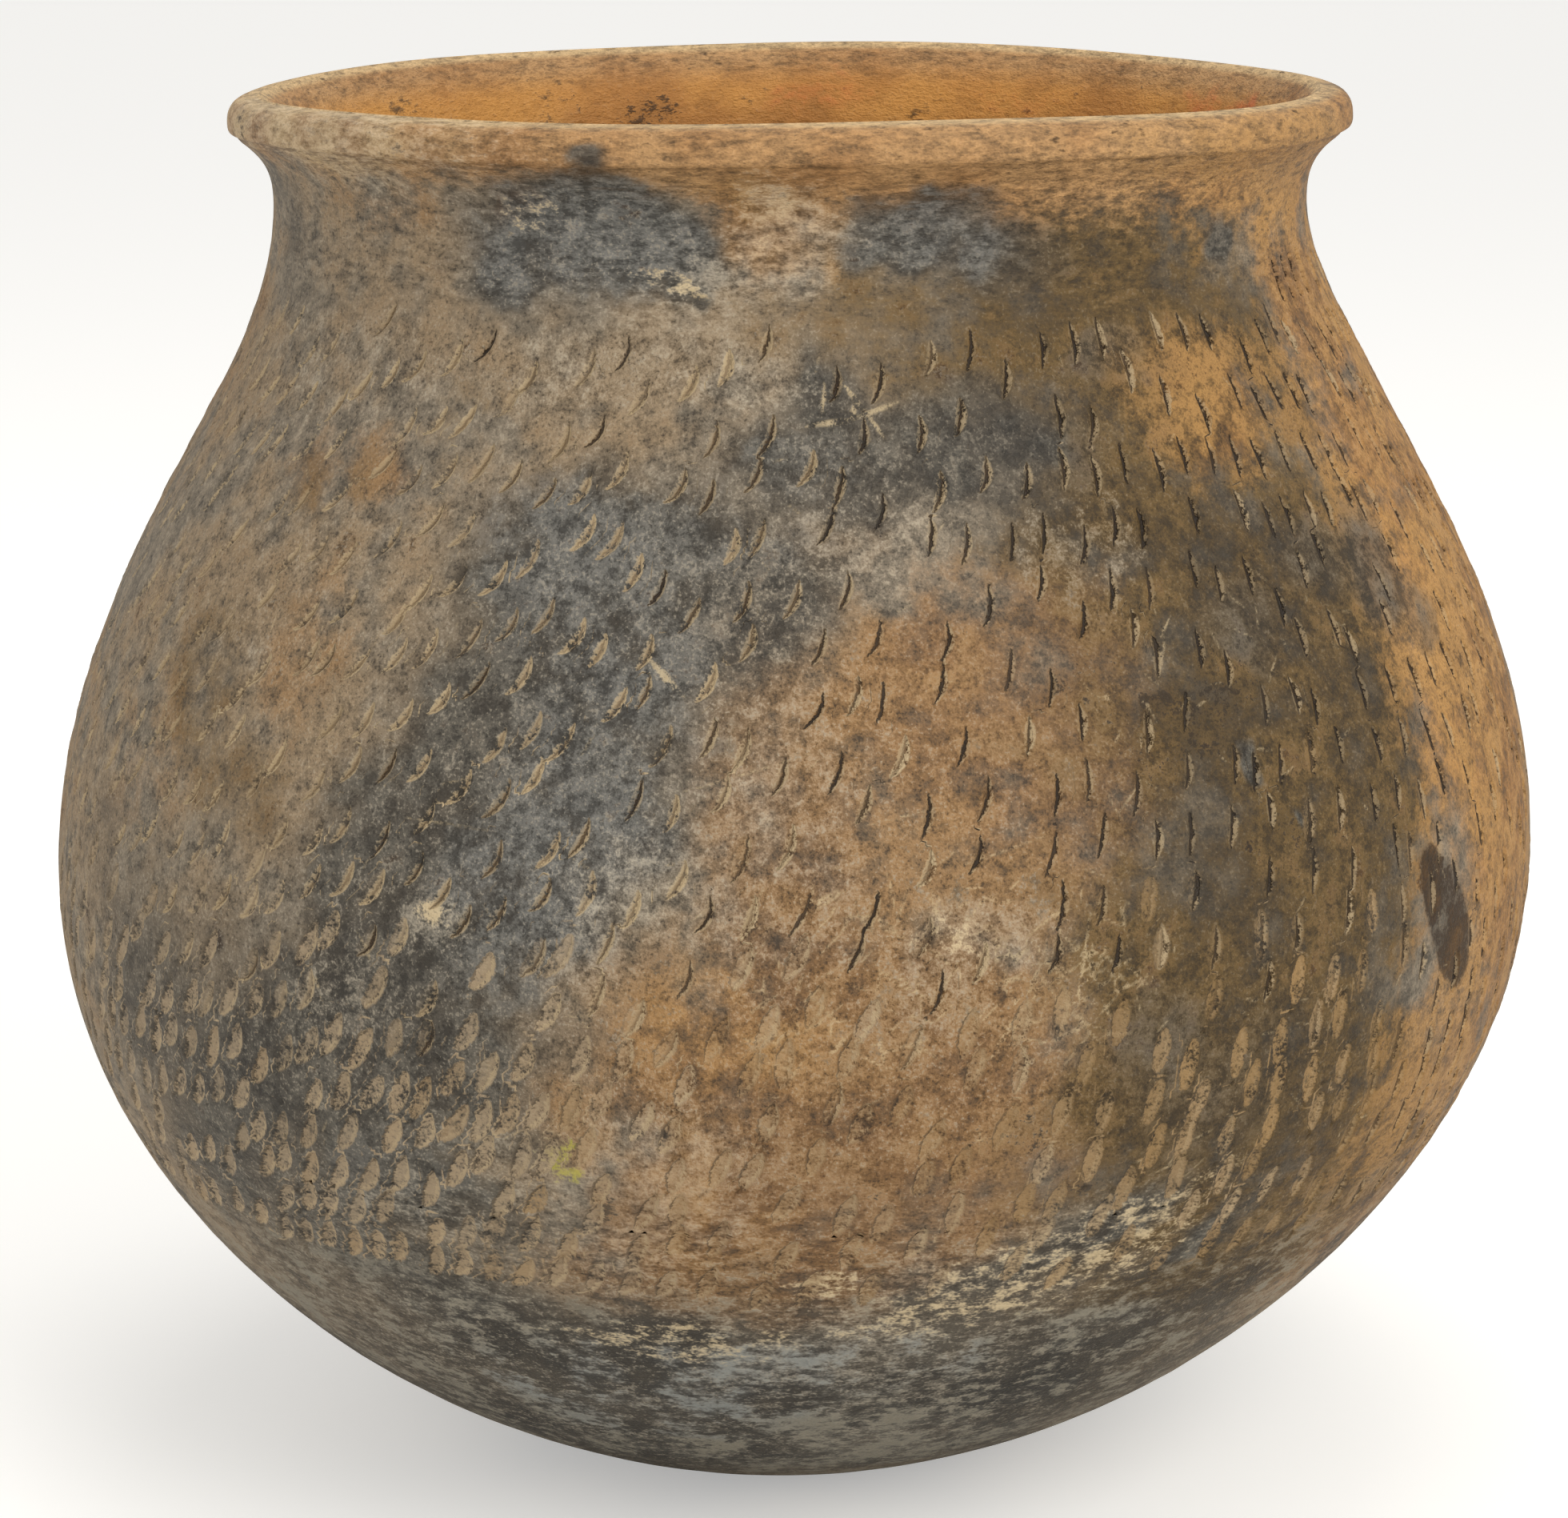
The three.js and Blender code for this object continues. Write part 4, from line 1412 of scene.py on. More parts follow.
    @staticmethod
    def _shade(
        mesh: bpy.types.Mesh, points: Array, normals: Array, faces: Array, joint: Array, poles: Array
    ) -> None:
        """Shades both sides of the piece by the whole jar's surface, and its joint faces flat.

        Args:
            mesh: The mesh.
            points: The places of its vertices.
            normals: The direction square to the clay at each place of the rows.
            faces: The corners of its faces of four.
            joint: Which of those lie in a joint.
            poles: The corners of its faces of three.
        """
        smooth_normals = normals.reshape(-1, 3)
        loops = smooth_normals[faces]
        flat = np.cross(points[faces[:, 2]] - points[faces[:, 0]], points[faces[:, 3]] - points[faces[:, 1]])
        flat = flat / np.maximum(np.linalg.norm(flat, axis=-1, keepdims=True), 1e-12)
        loops = np.where(joint[:, None, None], flat[:, None, :], loops).reshape(-1, 3)
        if len(poles):
            tips = np.repeat([[0.0, 0.0, -1.0], [0.0, 0.0, 1.0]], len(poles) // 2, axis=0)
            safe = np.minimum(poles[:, 1:], len(smooth_normals) - 1)
            ends = smooth_normals[safe]
            loops = np.concatenate([loops, np.concatenate([tips[:, None], ends], axis=1).reshape(-1, 3)])
        mesh.normals_split_custom_set(loops.astype(np.float32))


class Sketch:
    """A material's node tree, built by short calls."""

    ONE_LAYER = 0.1245

    def __init__(self, name: str) -> None:
        """Starts an empty tree with a shader and an output.

        Args:
            name: The name of the material.
        """
        self.material = bpy.data.materials.new(name)
        self.material.use_nodes = True
        self.tree = self.material.node_tree
        self.tree.nodes.clear()
        self.shader = self.tree.nodes.new("ShaderNodeBsdfPrincipled")
        output = self.tree.nodes.new("ShaderNodeOutputMaterial")
        self.tree.links.new(self.shader.outputs["BSDF"], output.inputs["Surface"])
        self.coordinates = self.tree.nodes.new("ShaderNodeTexCoord").outputs["Object"]

    def _feed(self, socket: Socket, value: object) -> None:
        """Links a socket's output, or sets a plain value.

        Args:
            socket: The input.
            value: The output or the value.
        """
        if isinstance(value, Socket):
            self.tree.links.new(value, socket)
        else:
            socket.default_value = value

    def attribute(self, name: str) -> Socket:
        """The value of a mesh attribute.

        Args:
            name: Its name.

        Returns:
            The socket with it.
        """
        node = self.tree.nodes.new("ShaderNodeAttribute")
        node.attribute_name = name
        return node.outputs["Fac"]

    def math(self, operation: str, first: object, second: object = 0.0, clamp: bool = False) -> Socket:
        """One sum of two numbers or sockets.

        Args:
            operation: Blender's name of the sum.
            first: The first number.
            second: The second number, where the sum has one.
            clamp: Whether the result is kept from 0 to 1.

        Returns:
            The socket with the result.
        """
        node = self.tree.nodes.new("ShaderNodeMath")
        node.operation = operation
        node.use_clamp = clamp
        self._feed(node.inputs[0], first)
        self._feed(node.inputs[1], second)
        return node.outputs[0]

    def rise(self, value: object, low: float, high: float, top: float = 1.0) -> Socket:
        """Goes from 0 at low to top at high as 3t^2 - 2t^3. Low may be the greater.

        Args:
            value: The number that is looked up.
            low: Where the rise begins.
            high: Where it ends.
            top: How far it rises.

        Returns:
            The socket with the result.
        """
        node = self.tree.nodes.new("ShaderNodeMapRange")
        node.interpolation_type = "SMOOTHSTEP"
        ends = ((low, 0.0), (high, top)) if low < high else ((high, top), (low, 0.0))
        self._feed(node.inputs["Value"], value)
        self._feed(node.inputs["From Min"], ends[0][0])
        self._feed(node.inputs["From Max"], ends[1][0])
        self._feed(node.inputs["To Min"], ends[0][1])
        self._feed(node.inputs["To Max"], ends[1][1])
        return node.outputs["Result"]

    def noise(self, size: float, detail: int = 3, keep: float = 0.6, stretch: float = 0.0) -> Socket:
        """Layers of noise in lumps of size millimetres and less, spread by about 1 to each side of 0.

        Blender divides the layers' sum by the sum of their strengths, keep^0 to keep^detail, and one layer
        spreads by ONE_LAYER. So the sum is multiplied by sum(keep^k) / (ONE_LAYER sqrt(sum(keep^2k))).

        Args:
            size: The size of the largest lumps.
            detail: How many finer layers are added, each half the size of the one before.
            keep: How strong each layer is beside the one before.
            stretch: Lumps run round the jar, this many times as long as they are high. 0 for round lumps.

        Returns:
            The socket with the noise.
        """
        place = self.coordinates
        if stretch:
            turned = self.tree.nodes.new("ShaderNodeAttribute")
            turned.attribute_name = TURNED
            mapping = self.tree.nodes.new("ShaderNodeMapping")
            mapping.inputs["Scale"].default_value = (1.0 / stretch, 1.0 / stretch, 1.0)
            self.tree.links.new(turned.outputs["Vector"], mapping.inputs["Vector"])
            place = mapping.outputs["Vector"]
        node = self.tree.nodes.new("ShaderNodeTexNoise")
        node.inputs["Scale"].default_value = 1.0 / (size * MM)
        node.inputs["Detail"].default_value = detail
        node.inputs["Roughness"].default_value = keep
        self.tree.links.new(place, node.inputs["Vector"])
        strengths = keep ** np.arange(detail + 1)
        spread = self.ONE_LAYER * float(np.sqrt(np.sum(strengths**2)) / np.sum(strengths))
        return self.times(self.math("SUBTRACT", node.outputs["Fac"], 0.5), 1.0 / spread)

    def shade(self, colour: Socket, share: Socket) -> Socket:
        """A colour made lighter or darker.

        Args:
            colour: The colour.
            share: How many times as light it gets.

        Returns:
            The new colour.
        """
        node = self.tree.nodes.new("ShaderNodeVectorMath")
        node.operation = "SCALE"
        self.tree.links.new(colour, node.inputs[0])
        self.tree.links.new(share, node.inputs["Scale"])
        return node.outputs["Vector"]

    def mix(self, share: object, first: object, second: object) -> Socket:
        """A colour between two.

        Args:
            share: How far it is from the first to the second.
            first: The colour at 0.
            second: The colour at 1.

        Returns:
            The new colour.
        """
        node = self.tree.nodes.new("ShaderNodeMix")
        node.data_type = "RGBA"
        self._feed(node.inputs[0], share)
        self._feed(node.inputs[6], first)
        self._feed(node.inputs[7], second)
        return node.outputs[2]

    def times(self, *values: object) -> Socket:
        """A product.

        Args:
            values: Two or more numbers or sockets.

        Returns:
            The socket with it.
        """
        product = values[0]
        for value in values[1:]:
            product = self.math("MULTIPLY", product, value)
        return product

    def plus(self, *values: object) -> Socket:
        """A sum.

        Args:
            values: Two or more numbers or sockets.

        Returns:
            The socket with it.
        """
        total = values[0]
        for value in values[1:]:
            total = self.math("ADD", total, value)
        return total


@dataclass(frozen=True)
class Grain:
    """The noises that a material is made from, each spread by about 1 to each side of 0.

    Cloudy has lumps of centimetres, and mottled smaller ones. Texture is fine, and runs round the jar where
    it was wiped or stroked. Grit is as fine as sand. Tint is cloudy and mottled together, and ragged is a
    little of all of them, to fray the edge of a stain.
    """

    cloudy: Socket
    mottled: Socket
    texture: Socket
    grit: Socket
    tint: Socket
    ragged: Socket


@dataclass(frozen=True)
class GrainSizes:
    """How large the lumps of each noise are."""

    cloudy: float = 34.0
    mottled: float = 11.0
    even: float = 4.5
    drawn: float = 2.4
    brushed: float = 1.8
    streaky: float = 1.5
    lip_streaky: float = 1.3
    grit: float = 0.6


@dataclass(frozen=True)
class FiredClay:
    """Low-fired earthenware: tan clay with fire clouds, warm patches, ash and worn nail marks, with a
    painted sheen on the front left, painted highlights on the marks' edges, and painted shade in the slits,
    beside the scoops, in the crease and under the lip.
    """

    name: str = "fired_clay"
    sizes: GrainSizes = GrainSizes()
    clay: Colour = srgb(140, 121, 96)
    clay_grey: Colour = srgb(126, 115, 99)
    warm: Colour = srgb(143, 109, 70)
    warm_deep: Colour = srgb(121, 88, 54)
    olive: Colour = srgb(88, 68, 34)
    olive_deep: Colour = srgb(62, 47, 23)
    tan: Colour = srgb(166, 126, 74)
    tan_deep: Colour = srgb(146, 106, 60)
    rim: Colour = srgb(176, 138, 94)
    rim_deep: Colour = srgb(154, 114, 72)
    inner: Colour = srgb(200, 144, 74)
    inner_deep: Colour = srgb(176, 122, 62)
    red: Colour = srgb(198, 88, 54)
    cloud: Colour = srgb(58, 55, 50)
    cloud_grey: Colour = srgb(84, 81, 74)
    # Bluish grey of the fire, also used as a painted sheen on the front left of the body.
    blue: Colour = srgb(112, 112, 109)
    ash: Colour = srgb(168, 158, 140)
    cream: Colour = srgb(214, 192, 152)
    # Brown streaks and mark beds, and the painted shade in slits, the crease and under the lip.
    brown: Colour = srgb(84, 64, 42)
    scoop: Colour = srgb(168, 148, 120)
    scoop_brown: Colour = srgb(158, 128, 86)
    worn: Colour = srgb(150, 130, 101)
    # Pale edge of a nail mark: partly dust and wear, partly a painted highlight on the raised ridge.
    edge: Colour = srgb(188, 167, 132)
    crest: Colour = srgb(206, 180, 136)
    pale: Colour = srgb(146, 140, 124)
    pale_blue: Colour = srgb(144, 148, 145)
    # Soot; also the dark of the painted shade in slits and of the painted shadow beside scoops.
    soot: Colour = srgb(40, 33, 27)
    burnt: Colour = srgb(32, 18, 6)
    lichen: Colour = srgb(168, 160, 60)
    contrast: float = 0.18
    cloud_contrast: float = 0.13
    olive_contrast: float = 0.07
    roughness: float = 0.7
    texture_relief: float = 0.045
    grit_relief: float = 0.02
    slit_relief: float = -0.35

    def make(self) -> bpy.types.Material:
        """Builds the material.

        Returns:
            A material that reads the masks of the mesh and breaks each up with noise.
        """
        s = Sketch(self.name)
        grain = self._grain(s)
        colour = self._stained(s, grain)
        colour = s.shade(colour, self._value(s, grain))
        colour = self._specked(s, grain, colour)
        colour, slit = self._marks(s, colour, grain)
        s.tree.links.new(colour, s.shader.inputs["Base Color"])

        smoother = s.plus(s.times(s.attribute("zone"), -0.04), s.times(s.attribute("fire"), -0.08))
        rough = s.plus(self.roughness, s.times(grain.texture, 0.03), smoother)
        s.tree.links.new(rough, s.shader.inputs["Roughness"])
        s.shader.inputs["Specular IOR Level"].default_value = 0.3
        relief = s.plus(s.times(grain.texture, self.texture_relief), s.times(grain.grit, self.grit_relief))
        relief = s.plus(relief, s.times(slit, self.slit_relief))
        bump = s.tree.nodes.new("ShaderNodeBump")
        bump.inputs["Strength"].default_value = 0.9
        bump.inputs["Distance"].default_value = MM
        s.tree.links.new(relief, bump.inputs["Height"])
        s.tree.links.new(bump.outputs["Normal"], s.shader.inputs["Normal"])
        return s.material

    def _grain(self, s: Sketch) -> Grain:
        """The noises. Texture is brushed on the neck, a little drawn out on the base and even between.

        Args:
            s: The node tree.

        Returns:
            The noises.
        """
        wiped, strokes = s.attribute("wiped"), s.attribute("strokes")
        between = s.math("SUBTRACT", 1.0, s.plus(wiped, strokes), clamp=True)
        brushed = s.noise(self.sizes.brushed, 3, 0.8, stretch=3.0)
        drawn = s.noise(self.sizes.drawn, 3, 0.85, stretch=2.2)
        even = s.noise(self.sizes.even, 4, 0.9)
        texture = s.plus(s.times(brushed, wiped), s.times(drawn, strokes), s.times(even, between))
        cloudy, mottled = s.noise(self.sizes.cloudy, 2), s.noise(self.sizes.mottled, 3)
        mottling = s.plus(0.5, s.times(s.attribute("zone"), -0.35))
        return Grain(
            cloudy=cloudy,
            mottled=mottled,
            texture=texture,
            grit=s.noise(self.sizes.grit, 1),
            tint=s.plus(s.times(cloudy, 0.6), s.times(mottled, mottling)),
            ragged=s.plus(s.times(cloudy, 0.05), s.times(mottled, 0.11), s.times(texture, 0.05)),
        )

    @staticmethod
    def _cover(
        s: Sketch, under: Socket, name: str, over: object, fray: Socket, low: float, high: float, most: float
    ) -> Socket:
        """Covers a colour with another where a mask with a frayed edge rises, and never off the mask.

        Args:
            s: The node tree.
            under: The colour below.
            name: The mask.
            over: The colour above.
            fray: The noise that frays the edge.
            low: Where it begins to cover.
            high: Where it covers most.
            most: Its greatest share.

        Returns:
            The colour of both.
        """
        mask = s.attribute(name)
        share = s.times(s.rise(s.plus(mask, fray), low, high, most), s.rise(mask, 0.03, 0.22))
        return s.mix(share, under, over)

    def _stained(self, s: Sketch, grain: Grain) -> Socket:
        """The clay with its large stains, each laid over the ones before it where its mask and noise say.

        Args:
            s: The node tree.
            grain: The noises.

        Returns:
            The colour, still without its fine texture.
        """

        def tinted(deep: Colour, light: Colour) -> Socket:
            """Deep in places and light in others."""
            return s.mix(s.rise(grain.tint, -1.3, 1.1), deep, light)

        def laid(under: Socket, name: str, over: object, low: float, high: float, most: float = 1) -> Socket:
            """A stain with ragged edges."""
            return self._cover(s, under, name, over, grain.ragged, low, high, most)

        colour = tinted(self.clay_grey, self.clay)
        colour = laid(colour, "warm", tinted(self.warm_deep, self.warm), 0.0, 0.95)
        colour = laid(colour, "olive", tinted(self.olive_deep, self.olive), 0.1, 1.0, 0.92)
        colour = laid(colour, "tan", tinted(self.tan_deep, self.tan), 0.1, 1.05)
        bright = tinted(self.rim_deep, self.rim)
        bright = s.mix(s.attribute("inner"), bright, tinted(self.inner_deep, self.inner))
        bright = laid(bright, "tan", tinted(self.tan_deep, self.tan), 0.1, 1.0, 0.7)
        bright = laid(bright, "red", self.red, 0.3, 1.1, 0.6)
        zone = s.attribute("zone")
        pale = s.plus(s.attribute("crest"), s.times(s.attribute("ash"), s.rise(grain.tint, -1.5, 1.5)))
        bright = s.mix(s.rise(pale, 0.0, 1.0, 0.7), bright, self.crest)
        streaks = s.rise(s.noise(self.sizes.lip_streaky, 4, 0.75, stretch=4.0), 0.0, 2.8, 0.5)
        outer = s.math("SUBTRACT", 1.0, s.attribute("inner"))
        bright = s.mix(s.times(streaks, outer), bright, self.brown)
        rim_edge = s.plus(zone, s.times(grain.ragged, s.rise(zone, 1.0, 0.7)))
        colour = s.mix(s.rise(rim_edge, 0.1, 0.9), colour, bright)
        colour = laid(colour, "fire", tinted(self.cloud, self.cloud_grey), 0.06, 1.0, 0.92)
        # Bluish grey: fire colouring, and on the front left a painted sheen.
        colour = laid(colour, "blue", self.blue, 0.15, 1.1, 0.6)
        ash = s.plus(s.attribute("ash"), s.times(grain.texture, 0.2), s.times(grain.grit, 0.06))
        share = s.times(s.rise(ash, 0.2, 1.4, 0.45), s.rise(s.attribute("ash"), 0.0, 0.15))
        colour = s.mix(share, colour, self.ash)
        lozenge = s.plus(s.attribute("lozenge"), s.times(grain.ragged, 1.5), s.times(grain.texture, 0.1))
        return s.mix(s.rise(lozenge, 0.3, 0.9, 0.85), colour, self.burnt)

    def _value(self, s: Sketch, grain: Grain) -> Socket:
        """How light each spot is beside its stain.

        Args:
            s: The node tree.
            grain: The noises.

        Returns:
            The share, which is 1 and a little more or less, and never far below half.
        """
        low, cloud, olive = s.attribute("low"), s.attribute("fire"), s.attribute("olive")
        calm = s.plus(1.0, s.times(s.attribute("zone"), -0.1), s.times(s.attribute("inner"), -0.6))
        in_stains = s.plus(s.times(cloud, self.cloud_contrast), s.times(olive, self.olive_contrast))
        contrast = s.plus(self.contrast, in_stains)
        mottling = s.plus(0.04, s.times(low, 0.12), s.times(olive, 0.05))
        broad = s.plus(s.times(grain.mottled, mottling), s.times(grain.cloudy, low, 0.22))
        swing = s.plus(s.times(grain.texture, contrast, calm), s.times(grain.grit, calm, 0.05), broad)
        return s.math("MAXIMUM", s.plus(1.0, swing), 0.45)

    def _specked(self, s: Sketch, grain: Grain, colour: Socket) -> Socket:
        """Adds the small things: flecks, dark specks, soot, cream crusts, lichen, scratches, and painted
        shade under the lip and in the crease.

        Args:
            s: The node tree.
            grain: The noises.
            colour: The stained clay.

        Returns:
            The colour with them.
        """

        crumbs = s.plus(s.times(grain.texture, 0.3), s.times(grain.grit, 0.08))

        def specks(under: Socket, name: str, over: Colour, low: float, high: float, most: float) -> Socket:
            """A crust that is broken up finely."""
            return self._cover(s, under, name, over, crumbs, low, high, most)

        clean = s.math("MAXIMUM", s.attribute("zone"), s.attribute("lozenge"))
        clean = s.math("MAXIMUM", s.attribute("tan"), clean)
        dusty = s.plus(1.0, s.times(clean, -0.8), s.times(s.attribute("olive"), -0.7))
        dusty = s.math("MAXIMUM", dusty, 0.0)
        haze = s.plus(grain.texture, s.times(grain.mottled, 0.5), s.times(grain.grit, 0.5))
        haze = s.times(s.rise(haze, -1.2, 2.8, 0.4), dusty, s.attribute("warm"))
        colour = s.mix(haze, colour, self.scoop)
        fleck = s.plus(grain.grit, s.times(grain.texture, 0.6), s.times(s.attribute("fire"), 0.45))
        colour = s.mix(s.times(s.rise(fleck, 1.2, 3.2, 0.4), dusty), colour, self.ash)
        film = s.plus(s.times(grain.texture, 0.8), s.times(grain.mottled, 0.8), s.times(grain.cloudy, 0.5))
        pale = s.mix(s.rise(s.attribute("blue"), 0.1, 0.5), self.pale, self.pale_blue)
        colour = s.mix(s.times(s.rise(film, -0.2, 2.6, 0.7), s.attribute("low")), colour, pale)
        colour = s.mix(s.times(s.rise(fleck, -1.5, -3.2, 0.45), dusty), colour, self.soot)
        colour = specks(colour, "soot", self.soot, 0.6, 1.2, 0.8)
        colour = specks(colour, "cream", self.cream, 0.35, 1.3, 0.7)
        colour = specks(colour, "lichen", self.lichen, 0.4, 1.2, 0.75)
        scratch = s.rise(s.plus(s.attribute("scratch"), s.times(grain.texture, 0.16)), 0.3, -0.12)
        colour = s.mix(s.times(scratch, s.rise(grain.texture, -1.8, 0.8), 0.55), colour, self.cream)
        # Painted shade under the overhang of the lip, broken into brown streaks.
        under_lip_shade = s.times(s.rise(s.attribute("zone"), 0.2, 0.7), s.rise(s.attribute("zone"), 1.0, 0.8))
        streaks = s.rise(s.noise(self.sizes.streaky, 3, 0.6, stretch=10.0), -0.6, -2.0)
        colour = s.mix(s.times(streaks, under_lip_shade, 0.55), colour, self.brown)
        # Painted shade in the crease under the lip, in brown.
        crease = s.times(s.attribute("crease"), s.rise(grain.texture, 1.5, -1.0), 0.6)
        return s.mix(crease, colour, self.brown)

    def _marks(self, s: Sketch, colour: Socket, grain: Grain) -> tuple[Socket, Socket]:
        """Colours the nail marks: pale edges, partly worn and partly a painted highlight, brown within, and
        a slit with painted shade in it or a scoop with a painted shadow along its left side.

        Args:
            s: The node tree.
            colour: The colour of the clay without marks.
            grain: The noises.

        Returns:
            The colour with the marks, and where the slits are.
        """
        u, on, bright = s.attribute("mark_u"), s.attribute("mark_on"), s.attribute("mark_bright")
        scoop, slit_shaded = s.attribute("mark_scoop"), s.attribute("mark_slit_shade")
        shut = s.math("SUBTRACT", 1.0, scoop)
        slit_unshaded = s.math("SUBTRACT", 1.0, slit_shaded)
        taper = s.math("SUBTRACT", 1.0, s.times(u, u), clamp=True)
        round_end = s.math("POWER", taper, 0.6)
        loose = s.plus(0.1, s.times(scoop, 0.08))
        place = s.plus(s.attribute("mark_v"), s.times(grain.texture, loose), s.times(grain.grit, loose, 0.4))

        def band(middle: float, half: object) -> Socket:
            """Where a line beside the bowed one is.

            Args:
                middle: How far it lies from the bowed line at the middle of the mark.
                half: Its half width there.

            Returns:
                1 on the line and 0 off it.
            """
            off = s.math("ABSOLUTE", s.math("SUBTRACT", place, s.times(taper, middle)))
            edge = s.math("SUBTRACT", off, s.times(round_end, half))
            return s.times(s.rise(edge, 0.16, -0.12), s.rise(taper, 0.0, 0.2), on)

        worn = s.rise(s.plus(grain.texture, s.times(grain.grit, 0.4)), -1.8, 0.2)
        patchy = s.plus(grain.texture, s.times(grain.grit, 0.7), s.times(grain.mottled, 0.5))
        leaf = s.times(band(-0.6, 1.65), scoop, s.rise(patchy, -3.4, 1.0), 1.15)
        leaf = s.times(leaf, s.plus(0.3, s.times(bright, 0.55)))
        leaf = s.times(leaf, s.plus(1.0, s.times(s.attribute("warm"), -0.45)))
        colour = s.mix(leaf, colour, s.mix(slit_shaded, self.scoop, self.scoop_brown))
        # A painted shadow along the left side of a scoop, in the soot colour.
        shadow = s.times(band(-2.2, 0.2), scoop)
        colour = s.mix(s.times(shadow, 0.6), colour, self.soot)
        within = s.times(band(-0.05, s.plus(0.28, s.times(slit_unshaded, 0.4))), shut)
        # The bed of a slit turns brown with its painted shade.
        bed = s.mix(s.rise(slit_shaded, 0.2, 0.65), self.worn, self.brown)
        colour = s.mix(s.times(within, worn, 0.85), colour, bed)
        # The pale band along the bow: partly pale dust and wear, partly a painted highlight where the raised
        # ridge catches the light.
        edge = s.times(band(0.5, s.plus(0.24, s.times(slit_unshaded, 0.22))), worn)
        edge = s.times(edge, s.plus(0.26, s.times(slit_unshaded, 0.85)), s.plus(1.0, s.times(scoop, -0.55)))
        colour = s.mix(s.times(edge, s.rise(bright, 0.0, 0.8)), colour, self.edge)
        far_edge = s.times(band(-0.85, 0.3), shut, worn, bright, slit_unshaded)
        colour = s.mix(s.times(far_edge, 0.7), colour, self.edge)
        # Painted shade in the slit, from brown to the soot colour, strongest on marks towards the right.
        slit = s.times(band(-0.1, s.plus(0.07, s.times(slit_shaded, 0.2))), shut, s.rise(slit_shaded, -0.2, 0.7))
        dark = s.mix(s.rise(slit_shaded, 0.1, 0.8), self.brown, self.soot)
        sunk = s.plus(slit, s.times(band(0.0, 0.3), slit_unshaded, shut, 0.5))
        return s.mix(s.times(slit, 0.9), colour, dark), sunk


@dataclass
class Jar:
    """The jar: its base bowl, wall coils, neck coil and rim coil."""

    sizes: JarSizes = field(default_factory=JarSizes)
    wall_columns: int = 1500
    base_columns: int = 840
    wall_gap: float = 0.62
    base_gap: float = 2.6
    base_inner_gap: float = 7.0
    marked_top: float = 16.0
    rim_gap: float = 0.55
    inner_gap: float = 2.6
    throat_gap: float = 1.9

    def build(self) -> list[bpy.types.Object]:
        """Builds and dresses every piece of clay.

        Returns:
            The pieces, from the base up.
        """
        outline = Outline(self.sizes)
        field_of_marks = MarkField(outline)
        field_of_marks.press(np.random.default_rng(SEED))
        random = np.random.default_rng(SEED + 2)
        scratches = [*SCRATCHES, *(scratch for net in SCRATCH_NETS for scratch in net.draw(random))]
        surface = ClaySurface(outline, HandShape(self.sizes), field_of_marks.marks, scratches)
        clay = FiredClay().make()
        pieces = []
        for part in self._parts(surface):
            piece = part.build()
            piece.data.materials.append(clay)
            pieces.append(piece)
        return pieces

    def _parts(self, surface: ClaySurface) -> list[ClayPiece]:
        """Every piece of clay between its joints.

        Args:
            surface: The surface of the whole jar.

        Returns:
            The pieces, from the base up.
        """
        joints = surface.outline.joints
        lap, rim_lap = self.sizes.joint_lap, self.sizes.rim_lap
        parts = [
            ClayPiece("base_bowl", "base_clay", surface, None, joints[0], self.base_columns,
                      self.base_gap, self.base_inner_gap, (0.0, lap), self.marked_top)
        ]
        for number, (below, above) in enumerate(zip(joints[:-2], joints[1:-1]), start=1):
            parts.append(
                ClayPiece(f"wall_coil_{number:02d}", "wall_clay", surface, below, above,
                          self.wall_columns, self.wall_gap, self.inner_gap, (lap, lap))
            )
        parts.append(
            ClayPiece("neck_coil", "wall_clay", surface, joints[-2], joints[-1], self.wall_columns,
                      self.wall_gap, self.throat_gap, (lap, rim_lap))
        )
        parts.append(
            ClayPiece("rim_coil", "rim_clay", surface, joints[-1], None, self.wall_columns,
                      self.rim_gap, self.rim_gap, (rim_lap, 0.0))
        )
        return parts


@dataclass(frozen=True)
class Lamp:
    """A square lamp that faces the middle of the jar. Its place and its side are in metres."""

    name: str
    place: tuple[float, float, float]
    side: float
    power: float
    colour: tuple[float, float, float] = (1.0, 0.97, 0.92)

    def hang(self) -> None:
        """Puts the lamp into the scene."""
        lamp = bpy.data.lights.new(self.name, "AREA")
        lamp.size = self.side
        lamp.energy = self.power
        lamp.color = self.colour
        holder = bpy.data.objects.new(self.name, lamp)
        holder.location = self.place
        aim = np.array([0.0, 0.0, JAR_MIDDLE]) - np.array(self.place)
        level = np.hypot(aim[0], aim[1])
        holder.rotation_euler = (np.arctan2(level, -aim[2]), 0.0, np.arctan2(aim[1], aim[0]) - np.pi / 2)
        bpy.context.scene.collection.objects.link(holder)


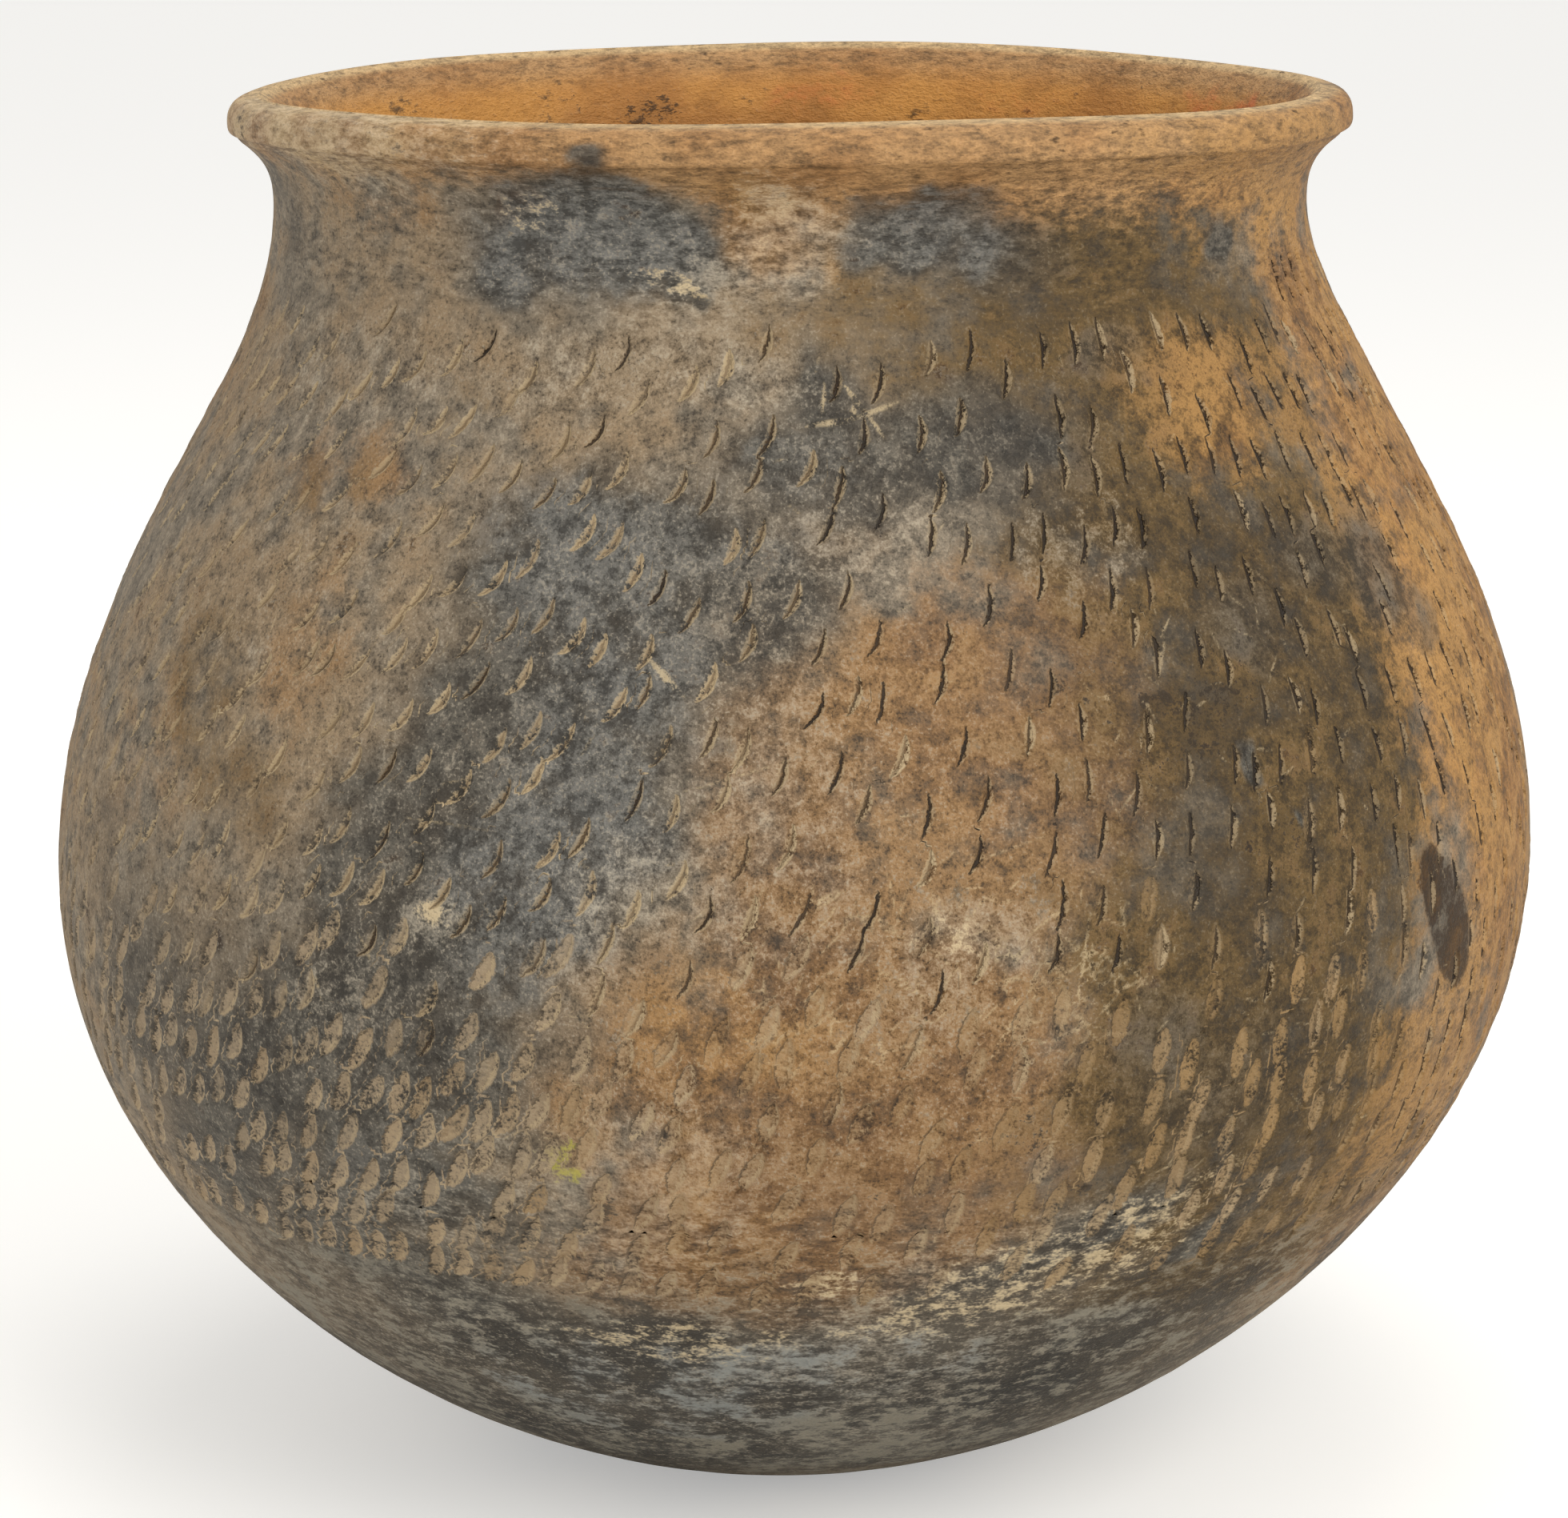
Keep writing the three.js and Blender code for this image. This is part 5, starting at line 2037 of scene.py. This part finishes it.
@dataclass(frozen=True)
class Studio:
    """A pale floor, soft light from the right and a camera where the photographer stood."""

    picture: tuple[int, int] = (1960, 1897)
    focal_pixels: float = 5507.2
    sensor: float = 36.0
    camera_place: tuple[float, float, float] = (0.67, -883.0, 344.0)
    camera_pitch: float = 13.09
    floor_reach: float = 12.0
    floor_colour: Colour = srgb(236, 236, 234)
    floor_glow: float = 0.36
    sky: float = 0.62
    sky_colour: Colour = (1.0, 0.98, 0.95, 1.0)
    lamps: tuple[Lamp, ...] = (
        Lamp("key", (0.9, -1.1, 1.1), 1.1, 15.0),
        Lamp("fill", (-1.3, -0.9, 0.8), 1.4, 5.0),
        Lamp("top", (0.1, 0.3, 1.6), 1.0, 5.0),
    )

    def build(self) -> None:
        """Sets up the camera, the floor, the sky and the lamps."""
        self._camera()
        self._floor()
        self._sky()
        for lamp in self.lamps:
            lamp.hang()
        scene = bpy.context.scene
        scene.view_settings.view_transform = "Standard"
        log.info("studio is set")

    def _camera(self) -> None:
        """The camera, in front of the jar and looking down at it."""
        camera = bpy.data.cameras.new("camera")
        camera.sensor_width = self.sensor
        camera.lens = self.focal_pixels / max(self.picture) * self.sensor
        camera.clip_start, camera.clip_end = 0.01, 50.0
        holder = bpy.data.objects.new("camera", camera)
        holder.location = [length * MM for length in self.camera_place]
        holder.rotation_euler = (np.radians(90.0 - self.camera_pitch), 0.0, 0.0)
        bpy.context.scene.collection.objects.link(holder)
        bpy.context.scene.camera = holder

    def _floor(self) -> None:
        """A wide, level, pale floor that the jar stands on."""
        reach = self.floor_reach
        mesh = bpy.data.meshes.new("floor")
        corners = [(-reach, -reach, 0.0), (reach, -reach, 0.0), (reach, reach, 0.0), (-reach, reach, 0.0)]
        mesh.from_pydata(corners, [], [(0, 1, 2, 3)])
        floor = bpy.data.objects.new("floor", mesh)
        bpy.context.scene.collection.objects.link(floor)
        sketch = Sketch("floor")
        sketch.shader.inputs["Base Color"].default_value = self.floor_colour
        sketch.shader.inputs["Roughness"].default_value = 0.9
        seen = sketch.tree.nodes.new("ShaderNodeLightPath").outputs["Is Camera Ray"]
        sketch.shader.inputs["Emission Color"].default_value = WHITE
        sketch.tree.links.new(sketch.times(seen, self.floor_glow), sketch.shader.inputs["Emission Strength"])
        mesh.materials.append(sketch.material)

    def _sky(self) -> None:
        """A plain sky that lights the jar evenly and is white to the camera."""
        world = bpy.data.worlds.new("sky")
        world.use_nodes = True
        tree = world.node_tree
        tree.nodes.clear()
        light = tree.nodes.new("ShaderNodeBackground")
        light.inputs["Color"].default_value = self.sky_colour
        light.inputs["Strength"].default_value = self.sky
        seen = tree.nodes.new("ShaderNodeBackground")
        seen.inputs["Color"].default_value = WHITE
        seen.inputs["Strength"].default_value = 1.0
        path = tree.nodes.new("ShaderNodeLightPath")
        mix = tree.nodes.new("ShaderNodeMixShader")
        output = tree.nodes.new("ShaderNodeOutputWorld")
        tree.links.new(path.outputs["Is Camera Ray"], mix.inputs["Fac"])
        tree.links.new(light.outputs["Background"], mix.inputs[1])
        tree.links.new(seen.outputs["Background"], mix.inputs[2])
        tree.links.new(mix.outputs["Shader"], output.inputs["Surface"])
        bpy.context.scene.world = world


def main() -> None:
    """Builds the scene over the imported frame."""
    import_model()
    Studio().build()
    Jar().build()


if __name__ == "__main__":
    main()
